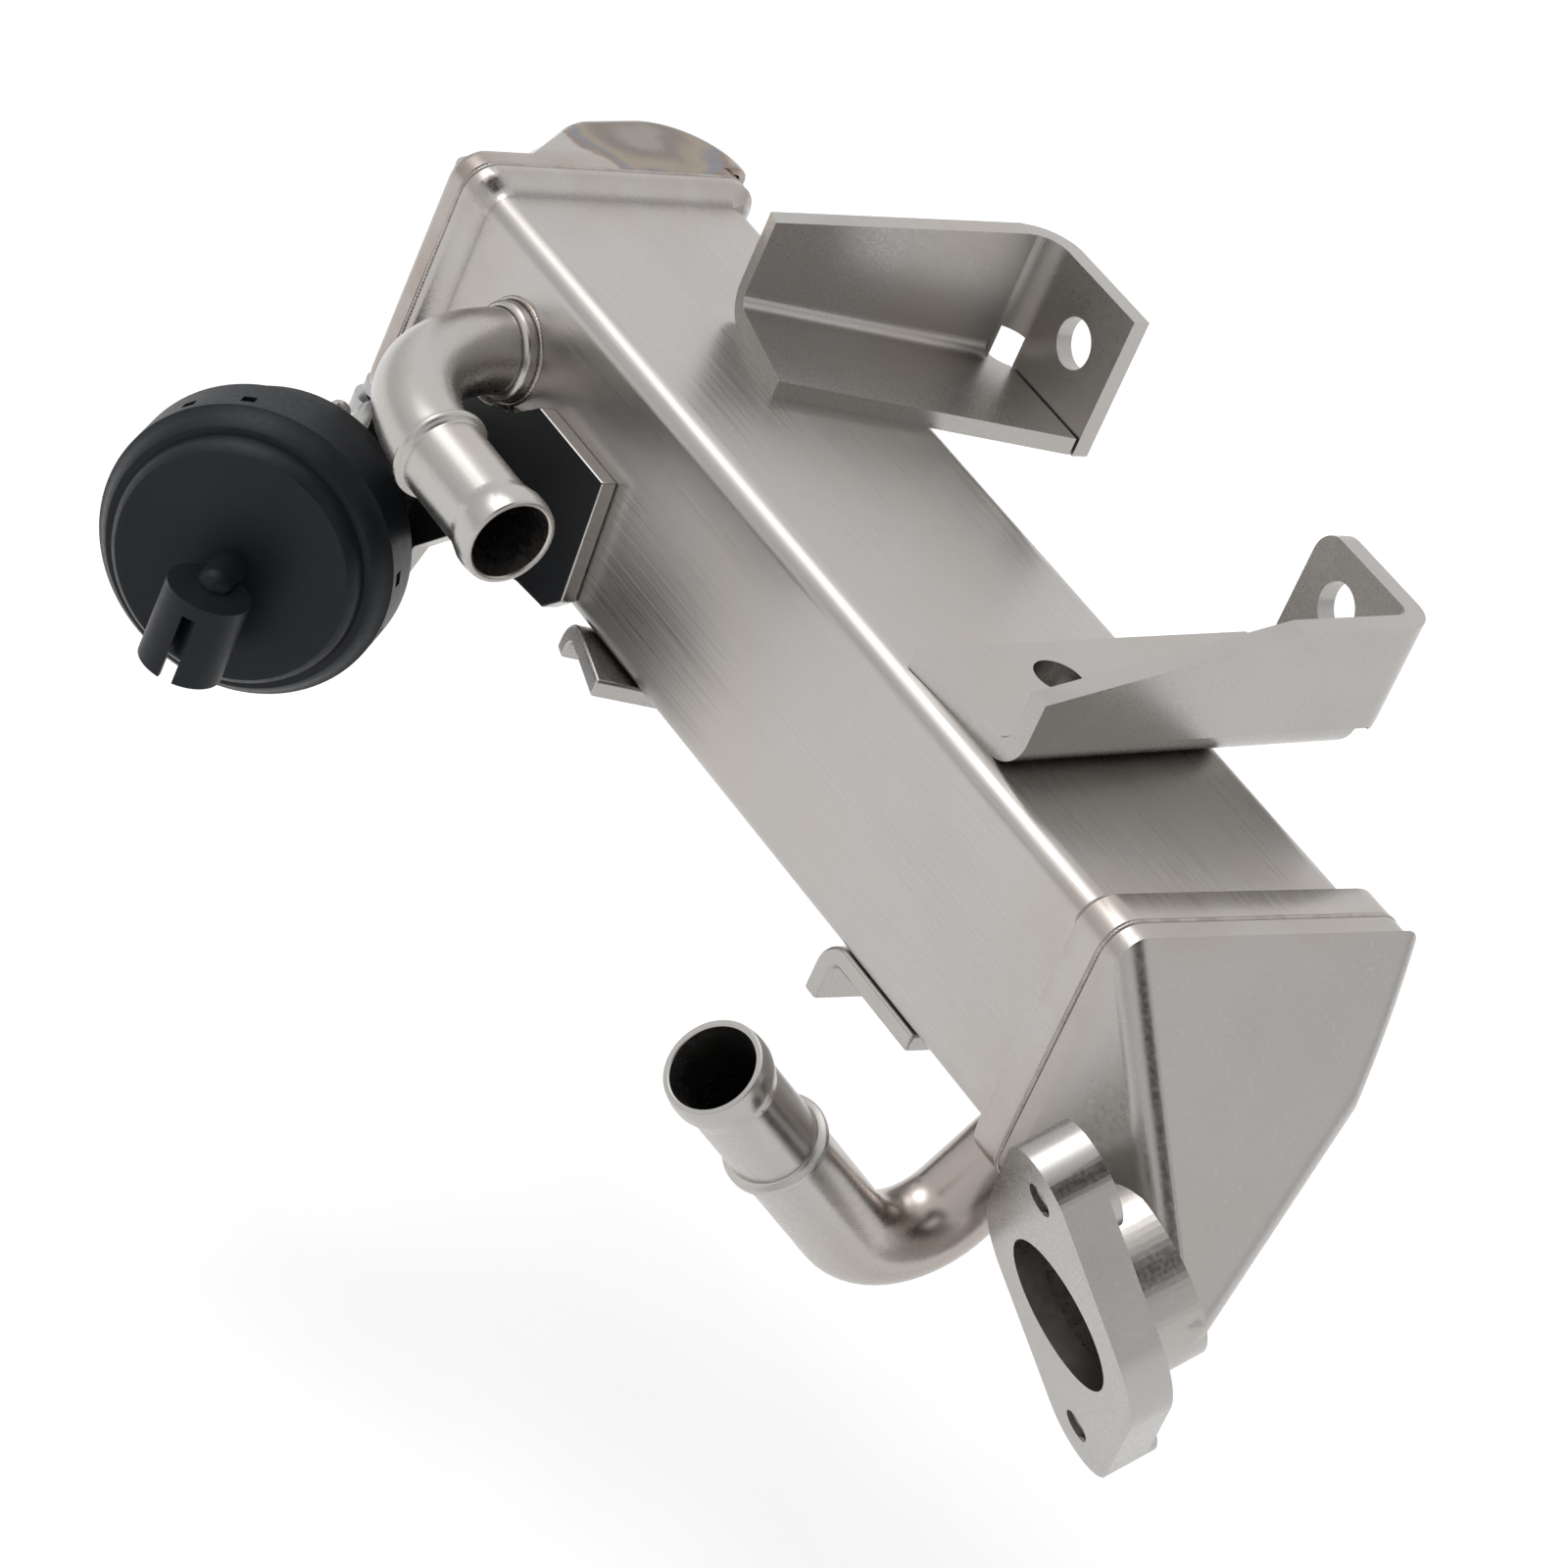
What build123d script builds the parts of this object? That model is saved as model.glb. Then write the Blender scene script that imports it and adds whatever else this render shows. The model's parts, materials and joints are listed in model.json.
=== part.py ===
from build123d import *
import os
from math import cos, radians, sin

os.makedirs("parts", exist_ok=True)

# Exhaust gas recirculation cooler with a vacuum-operated bypass flap.
# Millimetres, Z up. The origin is the centre of the inlet flange's bore on its
# sealing face, and X runs along the core towards the inlet end.

# Core: a rectangular stainless tube with an opened-out band at each end
core_length = 233.0
core_width = 65.7
core_height = 53.9
core_corner = 5.0
core_y = 42.1
core_z = 32.3
joint_x = -48.0
shell_wall = 1.5
band_step = 3.6
band_corner = 7.0
flare_length = 4.0
inlet_band = 12.0
outlet_band = 7.0
seam_chamfer = 0.7

# Tanks pressed from sheet, one at each end
tank_wall = 1.5
inlet_rim = 5.0
inlet_neck_r = 18.5
inlet_neck_depth = 20.5
hood_front = 12.5
hood_edge_r = 5.5
hood_tip_x = 76.0
hood_tip_y = -34.0
hood_cut_x = 4.0
hood_cut_y = 7.0
hood_middle_x = 47.7
hood_middle_y = 7.2
hood_bottom_slope = 5.0
skirt_start_x = 55.2
skirt_start_y = -7.3
skirt_end_x = 72.4
skirt_end_y = -33.0
skirt_lean = 14.0
skirt_drop = 2.5
end_wall_slope = 45.0
outlet_rim = 6.5
outlet_edge = 2.5
drum_top = 30.5
drum_shoulder = 14.0
drum_floor = -27.0
drum_edge = 3.0
drum_top_r = 18.0
drum_top_x = -11.8
drum_top_y = 19.5
drum_top_side_r = 13.2
drum_top_side_x = -15.2
drum_top_side_y = 6.3
drum_low_r = 17.3
drum_low_side_r = 14.0
drum_low_side_x = -19.0
drum_low_side_y = -3.0
drum_start_y = -19.7
chamber_top = 15.5
chamber_tip_x = -27.9
chamber_tip_y = -15.2
chamber_tip_r = 6.2
chamber_side_x = -18.5
chamber_side_y = -18.0
chamber_side_r = 6.5
chamber_start_y = -28.0
outlet_neck_r = 16.5
outlet_neck_x = -24.0
outlet_neck_y = 19.1

# Inlet flange, tilted below the horizontal
inlet_tilt = 33.25
inlet_flange_t = 9.0
inlet_bore_r = 15.65
inlet_body_r = 25.0
inlet_bolt_spacing = 68.0
inlet_ear_r = 10.8
thread_drill_r = 3.4
boss_height = 2.0
neck_socket = 4.0
socket_clearance = 0.05

# Outlet flange, below the outlet tank
outlet_flange_z = -58.0
outlet_flange_t = 8.0
outlet_bore_r = 14.0
outlet_body_r = 21.5
outlet_bolt_spacing = 52.5
outlet_ear_r = 8.5

# Header plates, flat gas tubes, bypass tube and the baffle that carries them
plate_t = 1.5
plate_skirt = 1.2
plate_clearance = 0.1
plate_seat = 0.5
gas_tube_count = 9
gas_tube_width = 36.0
gas_tube_height = 3.6
gas_tube_wall = 0.5
gas_tube_pitch = 5.5
gas_tube_y = 12.0
bypass_width = 10.5
bypass_height = 25.0
bypass_corner = 3.0
bypass_wall = 1.0
bypass_y = -12.8
tube_end = 1.5
bypass_gap = 0.6
tube_clearance = 0.05
baffle_x = -116.5
baffle_t = 1.5
baffle_gap = 0.3

# Coolant pipes
pipe_r = 9.0
pipe_wall = 1.2
spigot_length = 31.0
stop_ring_r = 10.4
stop_ring_width = 1.8
bead_r = 10.1
bead_length = 9.0
mouth_r = 9.7
upper_pipe_x = 23.3
upper_pipe_z = 4.5
upper_bend_r = 37.0
collar_r = 10.4
collar_width = 3.4
pipe_fit = 0.05
pipe_lead = 1.7
collar_edge = 0.8
collar_gap = 0.6
lower_pipe_x = 2.2
lower_root_y = -20.0
lower_root_z = -28.0
lower_corner_y = -41.4
lower_corner_z = -60.3
lower_mouth_y = -104.0
lower_mouth_z = -8.6
lower_bend_r = 17.0

# Vacuum actuator
actuator_x = 18.8
actuator_y = -74.0
actuator_z = -49.35
actuator_turn = 41.0
can_r = 27.0
can_depth = 28.0
can_wall = 1.5
can_edge = 4.0
cover_r = 32.0
cover_skirt = 11.5
cover_wall = 2.0
cover_edge = 0.8
cover_fit = 0.1
shoulder_r = 29.6
groove_r = 27.2
groove_height = 4.6
disc_r = 26.3
disc_edge = 1.2
disc_height = 9.0
disc_dish = 0.6
dish_r = 23.2
snap_turn = 33.0
snap_half = 12.0
snap_width = 3.0
snap_depth = 2.5
snap_back = 2.0
port_r = 3.75
port_reach = 9.8
shroud_r = 9.0
shroud_wall = 1.6
shroud_length = 18.5
shroud_reach = 12.3
shroud_slot = 3.0
nipple_r = 3.0
nipple_bore_r = 1.6
diaphragm_t = 1.2
diaphragm_gap = 0.05
diaphragm_bore_r = 18.0
piston_r = 17.0
piston_t = 1.5
piston_rest = 13.0
rod_r = 3.0
rod_clearance = 0.3
stud_r = 2.5
stud_spacing = 34.0
stud_length = 9.0
stud_clearance = 0.2
stud_fit = 0.05
nut_r = 4.6
nut_height = 4.0

# Bypass flap, its shaft and its lever
flap_swing = 36.0
arm_length = 14.0
arm_offset = 13.65
arm_reach = 50.4
shaft_r = 3.0
shaft_fit = 0.05
shaft_top = 13.5
bush_r = 6.0
bush_top = -25.0
bush_clearance = 0.05
flap_width = 13.0
flap_height = 27.0
flap_t = 1.6
flap_hub_r = 4.4
lever_t = 3.0
lever_gap = 1.4
lever_hub_r = 6.5
lever_tip_r = 5.0
pin_r = 2.5
pin_clearance = 0.8
eye_r = 6.0
eye_t = 4.0
eye_lap = 1.5
clip_r = 4.4
clip_t = 1.0
clip_gap = 0.4
pin_tail = 1.0
press_fit = 0.02
bush_gap = 0.6

# Actuator bracket, folded towards the actuator
carrier_t = 4.0
carrier_bend_r = 3.0
carrier_near_x = 73.0
carrier_tip = -26.0
carrier_r = 22.5
carrier_bottom = -80.0

# Mounting brackets
sheet_t = 4.0
sheet_bend_r = 3.0
mount_hole_r = 5.5
relief_r = 5.5
foot_gap = 0.5
bracket_a_t = 4.0
bracket_a_x = -189.9
bracket_a_y = 2.0
bracket_a_turn = 15.0
bracket_a_width = 29.0
bracket_a_length = 56.0
bracket_a_tab_y = 60.9
bracket_a_tab_end = -143.8
bracket_a_bend_r = 6.0
bracket_a_low = 50.7
bracket_a_high = 60.0
bracket_a_hole_x = -157.1
bracket_a_hole_z = 45.8
bracket_b_t = 4.5
bracket_b_x = -40.4
bracket_b_y = -27.0
bracket_b_turn = 4.0
bracket_b_width = 30.5
bracket_b_length = 88.0
bracket_b_tab_y = 66.0
bracket_b_tab_end = -77.3
bracket_b_bend_r = 3.5
bracket_b_low = 43.5
bracket_b_slope = 10.0
bracket_b_high = 57.6
bracket_b_level = 34.0
bracket_b_lift = 1.5
bracket_b_corner_z = 38.0
bracket_b_corner_y = 5.0
bracket_b_tab_corner = 6.0
bracket_b_hole_x = -64.9
bracket_b_hole_z = 45.8
bracket_b_base_hole_x = -61.5
bracket_b_base_hole_y = 0.0
bracket_c_left = -58.0
bracket_c_right = -26.0
bracket_c_drop = 13.5
bracket_c_near_y = -31.0
bracket_c_far_y = 12.0
bracket_d_left = -163.0
bracket_d_right = -138.0
bracket_d_drop = 9.0
bracket_d_turn = 18.0
bracket_d_near_y = -31.0
bracket_d_length = 40.0


def spot(x, y, z):
    """A point measured from the core's centre line at the inlet header."""
    return Vector(joint_x + x, core_y + y, core_z + z)


def across(x, width, height, corner, towards=1):
    """A rounded section square to the core's axis."""
    plane = Plane(origin=spot(x, 0, 0), x_dir=(0, 1, 0), z_dir=(towards, 0, 0))
    with BuildSketch(plane) as section:
        RectangleRounded(width, height, corner)
    return section.sketch


def level(z):
    """A horizontal plane with the core's centre line at its origin."""
    return Plane(origin=spot(0, 0, z))


def turned(origin, axis, points):
    """Half-section (radius, distance along the axis) of a turned piece."""
    radial = Vector(0, 0, 1) if abs(axis.Z) < 0.9 else Vector(1, 0, 0)
    radial = (radial - axis * radial.dot(axis)).normalized()
    plane = Plane(origin=origin, x_dir=radial, z_dir=radial.cross(axis))
    with BuildSketch(plane) as profile:
        with BuildLine():
            Polyline(*points, close=True)
        make_face()
    return profile.sketch


# Sizes that follow
header_width = core_width + 2 * band_step
header_height = core_height + 2 * band_step
inlet_seam = inlet_band
outlet_end = -core_length
outlet_seam = outlet_end - outlet_band
inlet_axis = Vector(0, -cos(radians(inlet_tilt)), -sin(radians(inlet_tilt)))
inlet_long = Vector(0, sin(radians(inlet_tilt)), -cos(radians(inlet_tilt)))
inlet_face = Plane(origin=(0, 0, 0), x_dir=inlet_long, z_dir=inlet_axis)

# The actuator's rod slides along its own axis; the shaft stands beside that axis
push = Vector(-sin(radians(actuator_turn)), cos(radians(actuator_turn)), 0)
aside = Vector(cos(radians(actuator_turn)), sin(radians(actuator_turn)), 0)
rim_centre = spot(outlet_end + actuator_x, actuator_y, actuator_z)
can_back = rim_centre + push * can_depth
middle_pin = can_back + push * arm_reach
shaft_foot = middle_pin + aside * arm_offset
half_swing = flap_swing / 2
rest_arm = push * sin(radians(half_swing)) - aside * cos(radians(half_swing))
rest_eye = middle_pin + push * (arm_length * sin(radians(half_swing)))
rest_flap = Vector(-sin(radians(flap_swing)), -cos(radians(flap_swing)), 0)
actuator_z_offset = -actuator_z

# Outline of the actuator bracket, up to its fold, seen from the near side and
# measured from the core's outlet end
carrier_outline = [
    (43.0, 4.0),
    (69.6, 4.1),
    (72.3, -23.2),
    (67.6, -28.0),
    (57.4, -29.0),
    (32.3, -35.6),
    (23.6, -44.5),
    (19.0, -60.0),
    (7.0, -76.0),
    (7.0, -22.5),
    (19.0, -12.0),
    (21.0, -7.0),
    (35.0, -3.0),
]

# Shell of the core
def shell_sections(inset):
    """Sections of the shell from the outlet seam to the inlet seam."""
    core = (core_width - 2 * inset, core_height - 2 * inset, core_corner - inset)
    band = (header_width - 2 * inset, header_height - 2 * inset, band_corner - inset)
    cut = 0.0 if inset else 2 * seam_chamfer
    seam = (band[0] - cut, band[1] - cut, band[2] - cut / 2)
    return [
        across(outlet_seam, *seam),
        across(outlet_seam + seam_chamfer, *band),
        across(-core_length - flare_length, *band),
        across(-core_length, *core),
        across(0, *core),
        across(flare_length, *band),
        across(inlet_seam - seam_chamfer, *band),
        across(inlet_seam, *seam),
    ]


upper_root = spot(outlet_end + upper_pipe_x, -core_width / 2, upper_pipe_z)
lower_root = spot(lower_pipe_x, lower_root_y, lower_root_z)
lower_corner = spot(lower_pipe_x, lower_corner_y, lower_corner_z)
lower_mouth = spot(lower_pipe_x, lower_mouth_y, lower_mouth_z)
lower_inlet = (lower_corner - lower_root).normalized()
lower_axis = (lower_mouth - lower_corner).normalized()

with BuildPart() as core_space:
    loft(shell_sections(shell_wall), ruled=True)

with BuildPart() as shell_tube:
    loft(shell_sections(0), ruled=True)
    add(core_space.part, mode=Mode.SUBTRACT)
    with BuildSketch(Plane(origin=upper_root, z_dir=(0, 1, 0))):
        Circle(pipe_r + pipe_fit)
    extrude(amount=2 * shell_wall, both=True, mode=Mode.SUBTRACT)
    with BuildSketch(Plane(origin=lower_root, z_dir=lower_inlet)):
        Circle(pipe_r + pipe_fit)
    extrude(amount=2 * pipe_r, both=True, mode=Mode.SUBTRACT)


# Inlet tank: it takes the gas from the tilted neck round into the core
rim_face = Plane(origin=spot(inlet_seam + inlet_rim, 0, 0), z_dir=(1, 0, 0))


def inlet_hood(inset):
    """The inlet tank beyond its rim: a wedge with a slanted end wall."""
    slope = radians(end_wall_slope)
    end_wall = Plane(
        origin=spot(inlet_seam + inlet_rim, 0, header_height / 2),
        x_dir=(0, 1, 0),
        z_dir=(sin(slope), 0, cos(slope)),
    )
    lean = radians(hood_bottom_slope)
    bottom = Plane(
        origin=spot(inlet_seam + inlet_rim, 0, -header_height / 2),
        x_dir=(0, 1, 0),
        z_dir=(-sin(lean), 0, -cos(lean)),
    )
    skirt_top = inlet_seam + inlet_rim + header_height / 2 - skirt_drop
    skirt_start = spot(skirt_start_x, skirt_start_y, skirt_top - skirt_start_x)
    skirt_end = spot(skirt_end_x, skirt_end_y, skirt_top - skirt_end_x)
    skirt_run = skirt_end - skirt_start
    skirt_out = skirt_run.cross(Vector(0, 0, -1)).normalized()
    turn = radians(skirt_lean)
    skirt_down = skirt_out * -sin(turn) - Vector(0, 0, cos(turn))
    skirt = Plane(origin=skirt_start, z_dir=skirt_run.cross(skirt_down))
    near_y = header_width / 2
    with BuildPart() as hood:
        with BuildSketch(level(-2 * header_height)):
            with BuildLine():
                Polyline(
                    (inlet_seam, near_y),
                    (inlet_seam, -near_y),
                    (inlet_seam + inlet_rim, -near_y),
                    (hood_tip_x, hood_tip_y),
                    (hood_tip_x - hood_cut_x, hood_tip_y + hood_cut_y),
                )
                ThreePointArc(
                    (hood_tip_x - hood_cut_x, hood_tip_y + hood_cut_y),
                    (hood_middle_x, hood_middle_y),
                    (inlet_seam + inlet_rim, near_y),
                )
                Line((inlet_seam + inlet_rim, near_y), (inlet_seam, near_y))
            make_face()
            if inset:
                offset(amount=-inset)
        extrude(amount=4 * header_height)
        split(bisect_by=end_wall.offset(-inset), keep=Keep.BOTTOM)
        split(bisect_by=bottom.offset(-inset), keep=Keep.BOTTOM)
        split(bisect_by=skirt.offset(-inset), keep=Keep.BOTTOM)
        split(bisect_by=inlet_face.offset(-hood_front - inset), keep=Keep.BOTTOM)
        split(bisect_by=rim_face, keep=Keep.TOP)
        free = hood.edges().filter_by_position(Axis.X, rim_face.origin.X + 0.01, 1000, (False, False))
        fillet(free, radius=hood_edge_r - inset)
    return hood.part


def tank_rim(seam, length, inset, towards):
    """The straight rim of a tank, chamfered where it meets the seam."""
    cut = 0.0 if inset else 2 * seam_chamfer
    size = (header_width - 2 * inset, header_height - 2 * inset, band_corner - inset)
    start = (size[0] - cut, size[1] - cut, size[2] - cut / 2)
    return [
        across(seam, *start, towards),
        across(seam + towards * seam_chamfer, *size, towards),
        across(seam + towards * length, *size, towards),
    ]


def inlet_tank_body(inset):
    """The inlet tank's outer form, or with an inset the space inside it."""
    with BuildPart() as body:
        loft(tank_rim(inlet_seam, inlet_rim, inset, 1), ruled=True)
        add(inlet_hood(inset))
        with BuildSketch(inlet_face.offset(-inlet_neck_depth)):
            Circle(inlet_neck_r - inset)
        extrude(amount=inlet_neck_depth - inlet_flange_t + neck_socket)
    return body.part


with BuildPart() as inlet_tank:
    add(inlet_tank_body(0))
    add(inlet_tank_body(tank_wall), mode=Mode.SUBTRACT)

with BuildPart() as inlet_flange:
    with BuildSketch(inlet_face):
        Circle(inlet_body_r)
        with GridLocations(inlet_bolt_spacing, 0, 2, 1):
            Circle(inlet_ear_r)
        make_hull()
    extrude(amount=-inlet_flange_t)
    with BuildSketch(inlet_face.offset(-inlet_flange_t)):
        with GridLocations(inlet_bolt_spacing, 0, 2, 1):
            Circle(inlet_ear_r)
    extrude(amount=-boss_height)
    with BuildSketch(inlet_face):
        Circle(inlet_bore_r)
        with GridLocations(inlet_bolt_spacing, 0, 2, 1):
            Circle(thread_drill_r)
    extrude(amount=-inlet_flange_t - boss_height, mode=Mode.SUBTRACT)
    with BuildSketch(inlet_face.offset(-inlet_flange_t)):
        Circle(inlet_neck_r + socket_clearance)
    extrude(amount=neck_socket, mode=Mode.SUBTRACT)


# Outlet tank: a pressed cap with a drum that turns the gas down to the flange
cap_x = outlet_seam - outlet_rim + 2 * tank_wall


def drum_outline(z, tip, side, shrink):
    """The drum's plan at one height, drawn out to the cap."""
    far_y = header_width / 2 - tank_wall - shrink
    near_y = drum_start_y + shrink
    with BuildSketch(level(z)) as outline:
        for x, y, r in (tip, side):
            with Locations((x, y)):
                Circle(r - shrink)
        with Locations((cap_x, (far_y + near_y) / 2)):
            Rectangle(2 * tank_wall, far_y - near_y)
        make_hull()
    return outline.sketch


def drum_sections(inset):
    """Plans of the drum from its floor to its rounded top edge."""
    low = (
        (outlet_end + outlet_neck_x, outlet_neck_y, drum_low_r),
        (outlet_end + drum_low_side_x, drum_low_side_y, drum_low_side_r),
    )
    top = (
        (outlet_end + drum_top_x, drum_top_y, drum_top_r),
        (outlet_end + drum_top_side_x, drum_top_side_y, drum_top_side_r),
    )
    edge = drum_edge - inset
    sections = [
        drum_outline(drum_floor + inset, *low, inset),
        drum_outline(drum_shoulder, *low, inset),
    ]
    for angle in (0, 30, 60, 90):
        drop = edge * (1 - sin(radians(angle)))
        cut = edge * (1 - cos(radians(angle)))
        sections.append(drum_outline(drum_top - inset - drop, *top, inset + cut))
    return sections


def chamber_outline(inset):
    """The plan of the side chamber in which the bypass flap swings."""
    with BuildSketch(level(drum_floor + inset)) as outline:
        with Locations((outlet_end + chamber_tip_x, chamber_tip_y)):
            Circle(chamber_tip_r - inset)
        with Locations((outlet_end + chamber_side_x, chamber_side_y)):
            Circle(chamber_side_r - inset)
        with Locations((cap_x, chamber_start_y / 2)):
            Rectangle(2 * tank_wall, -chamber_start_y - 2 * inset)
        make_hull()
    return outline.sketch


def drum_body(inset):
    """The drum and the side chamber, cut off inside the cap."""
    with BuildPart() as drum:
        loft(drum_sections(inset), ruled=True)
        extrude(chamber_outline(inset), amount=chamber_top - drum_floor - 2 * inset)
        split(bisect_by=Plane(origin=spot(cap_x, 0, 0), z_dir=(-1, 0, 0)), keep=Keep.TOP)
    return drum.part


def cap_sections(inset):
    """Sections of the cap's rounded end edge."""
    size = (header_width - 2 * inset, header_height - 2 * inset, band_corner - inset)
    end = outlet_seam - outlet_rim + inset
    edge = outlet_edge - inset / 2
    sections = []
    for angle in (0, 30, 60, 90):
        back = edge * (1 - sin(radians(angle)))
        cut = edge * (1 - cos(radians(angle)))
        shape = (size[0] - 2 * cut, size[1] - 2 * cut, size[2] - cut)
        sections.append(across(end + back, *shape, -1))
    return sections


def outlet_tank_body(inset):
    """The outlet tank's outer form, or with an inset the space inside it."""
    with BuildPart() as body:
        straight = outlet_rim - outlet_edge - inset / 2
        loft(tank_rim(outlet_seam, straight, inset, -1), ruled=True)
        loft(cap_sections(inset), ruled=True)
        add(drum_body(inset))
        neck_top = drum_floor + 2 * tank_wall
        with BuildSketch(level(neck_top)):
            with Locations((outlet_end + outlet_neck_x, outlet_neck_y)):
                Circle(outlet_neck_r - inset)
        extrude(amount=outlet_flange_z + outlet_flange_t - neck_socket - neck_top)
    return body.part


with BuildPart() as outlet_tank:
    add(outlet_tank_body(0))
    add(outlet_tank_body(tank_wall), mode=Mode.SUBTRACT)
    with BuildSketch(Plane(origin=(shaft_foot.X, shaft_foot.Y, core_z + drum_floor))):
        Circle(bush_r + bush_clearance)
    extrude(amount=2 * tank_wall, both=True, mode=Mode.SUBTRACT)

outlet_origin = spot(outlet_end + outlet_neck_x, outlet_neck_y, outlet_flange_z)
outlet_face = Plane(origin=outlet_origin, x_dir=(1, 0, 0), z_dir=(0, 0, -1))
with BuildPart() as outlet_flange:
    with BuildSketch(outlet_face):
        Circle(outlet_body_r)
        with GridLocations(outlet_bolt_spacing, 0, 2, 1):
            Circle(outlet_ear_r)
        make_hull()
        Circle(outlet_bore_r, mode=Mode.SUBTRACT)
        with GridLocations(outlet_bolt_spacing, 0, 2, 1):
            Circle(thread_drill_r, mode=Mode.SUBTRACT)
    extrude(amount=-outlet_flange_t)
    with BuildSketch(outlet_face.offset(-outlet_flange_t)):
        Circle(outlet_neck_r + socket_clearance)
    extrude(amount=neck_socket, mode=Mode.SUBTRACT)


# Core: header plates in the tank rims, gas tubes, bypass tube and baffle
def header_plate(x, towards):
    """A plate across the tank rim with a short skirt and holes for the tubes."""
    inset = tank_wall + plate_clearance
    size = (header_width - 2 * inset, header_height - 2 * inset, band_corner - inset)
    inner = (size[0] - 2 * plate_t, size[1] - 2 * plate_t, size[2] - plate_t)
    with BuildPart() as plate:
        extrude(across(x, *size, towards), amount=plate_skirt + plate_t)
        pocket = across(x + towards * plate_t, *inner, towards)
        extrude(pocket, amount=plate_skirt, mode=Mode.SUBTRACT)
        with BuildSketch(Plane(origin=spot(x, 0, 0), x_dir=(0, 1, 0), z_dir=(1, 0, 0))):
            tube_holes(tube_clearance)
        extrude(amount=towards * plate_t, mode=Mode.SUBTRACT)
    return plate.part


def tube_holes(room):
    """Outlines of all the tubes, enlarged all round by a clearance."""
    with Locations((gas_tube_y, 0)):
        with GridLocations(0, gas_tube_pitch, 1, gas_tube_count):
            width = gas_tube_width + 2 * room
            SlotOverall(width, gas_tube_height + 2 * room)
    with Locations((bypass_y, 0)):
        RectangleRounded(bypass_width + 2 * room, bypass_height + 2 * room, bypass_corner + room)


inlet_plate_x = inlet_seam + plate_seat
outlet_plate_x = outlet_seam - plate_seat
inlet_tube_x = inlet_plate_x + plate_t + tube_end
outlet_tube_x = outlet_plate_x - plate_t - tube_end
tube_start = Plane(origin=spot(outlet_tube_x, 0, 0), x_dir=(0, 1, 0), z_dir=(1, 0, 0))

with BuildPart() as header_plate_inlet:
    add(header_plate(inlet_plate_x, 1))

with BuildPart() as header_plate_outlet:
    add(header_plate(outlet_plate_x, -1))

with BuildPart() as gas_tubes:
    with BuildSketch(tube_start):
        with Locations((gas_tube_y, 0)):
            with GridLocations(0, gas_tube_pitch, 1, gas_tube_count):
                SlotOverall(gas_tube_width, gas_tube_height)
                inner_width = gas_tube_width - 2 * gas_tube_wall
                SlotOverall(inner_width, gas_tube_height - 2 * gas_tube_wall, mode=Mode.SUBTRACT)
    extrude(amount=inlet_tube_x - outlet_tube_x)

bypass_end_x = shaft_foot.X - joint_x + flap_hub_r + bypass_gap
with BuildPart() as bypass_tube:
    with BuildSketch(Plane(origin=spot(bypass_end_x, 0, 0), x_dir=(0, 1, 0), z_dir=(1, 0, 0))):
        with Locations((bypass_y, 0)):
            RectangleRounded(bypass_width, bypass_height, bypass_corner)
            inner = (bypass_width - 2 * bypass_wall, bypass_height - 2 * bypass_wall)
            RectangleRounded(*inner, bypass_corner - bypass_wall, mode=Mode.SUBTRACT)
    extrude(amount=inlet_tube_x - bypass_end_x)

with BuildPart() as support_baffle:
    gap = shell_wall + baffle_gap
    size = (core_width - 2 * gap, core_height - 2 * gap, core_corner - gap)
    extrude(across(baffle_x, *size), amount=baffle_t)
    with BuildSketch(Plane(origin=spot(baffle_x, 0, 0), x_dir=(0, 1, 0), z_dir=(1, 0, 0))):
        tube_holes(tube_clearance)
    extrude(amount=baffle_t, mode=Mode.SUBTRACT)


# Coolant pipes, each with a stop ring and a beaded end for its hose
def spigot(foot, axis):
    """The straight end of a coolant pipe, turned about its axis."""
    inner = pipe_r - pipe_wall
    ring = stop_ring_width
    points = [
        (inner, 0),
        (pipe_r, 0),
        (stop_ring_r, 0.4),
        (stop_ring_r, ring),
        (pipe_r, ring + 0.8),
        (pipe_r, spigot_length - bead_length),
        (bead_r, spigot_length - bead_length / 2),
        (bead_r, spigot_length - bead_length / 4),
        (mouth_r, spigot_length),
        (mouth_r - pipe_wall, spigot_length),
        (inner, spigot_length - bead_length / 2),
    ]
    with BuildPart() as turning:
        revolve(turned(foot, axis, points), axis=Axis(foot, axis))
    return turning.part


upper_foot = upper_root + Vector(upper_bend_r, -upper_bend_r - pipe_lead, 0)
upper_start = upper_root + Vector(0, shell_wall, 0)
with BuildPart() as upper_coolant_pipe:
    with BuildLine() as upper_path:
        upper_lead = Line(upper_start, upper_root - Vector(0, pipe_lead, 0))
        JernArc(upper_lead @ 1, upper_lead % 1, upper_bend_r, 90)
    with BuildSketch(Plane(origin=upper_start, z_dir=(0, -1, 0))):
        Circle(pipe_r)
        Circle(pipe_r - pipe_wall, mode=Mode.SUBTRACT)
    sweep(path=upper_path.line)
    add(spigot(upper_foot, Vector(1, 0, 0)))

with BuildPart() as upper_collar:
    with BuildSketch(Plane(origin=upper_root, z_dir=(0, -1, 0))):
        Circle(collar_r)
        Circle(pipe_r + pipe_fit, mode=Mode.SUBTRACT)
    extrude(amount=collar_width)
    chamfer(upper_collar.edges().group_by(Axis.Y)[0].sort_by(SortBy.RADIUS)[-1], length=collar_edge)

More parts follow.
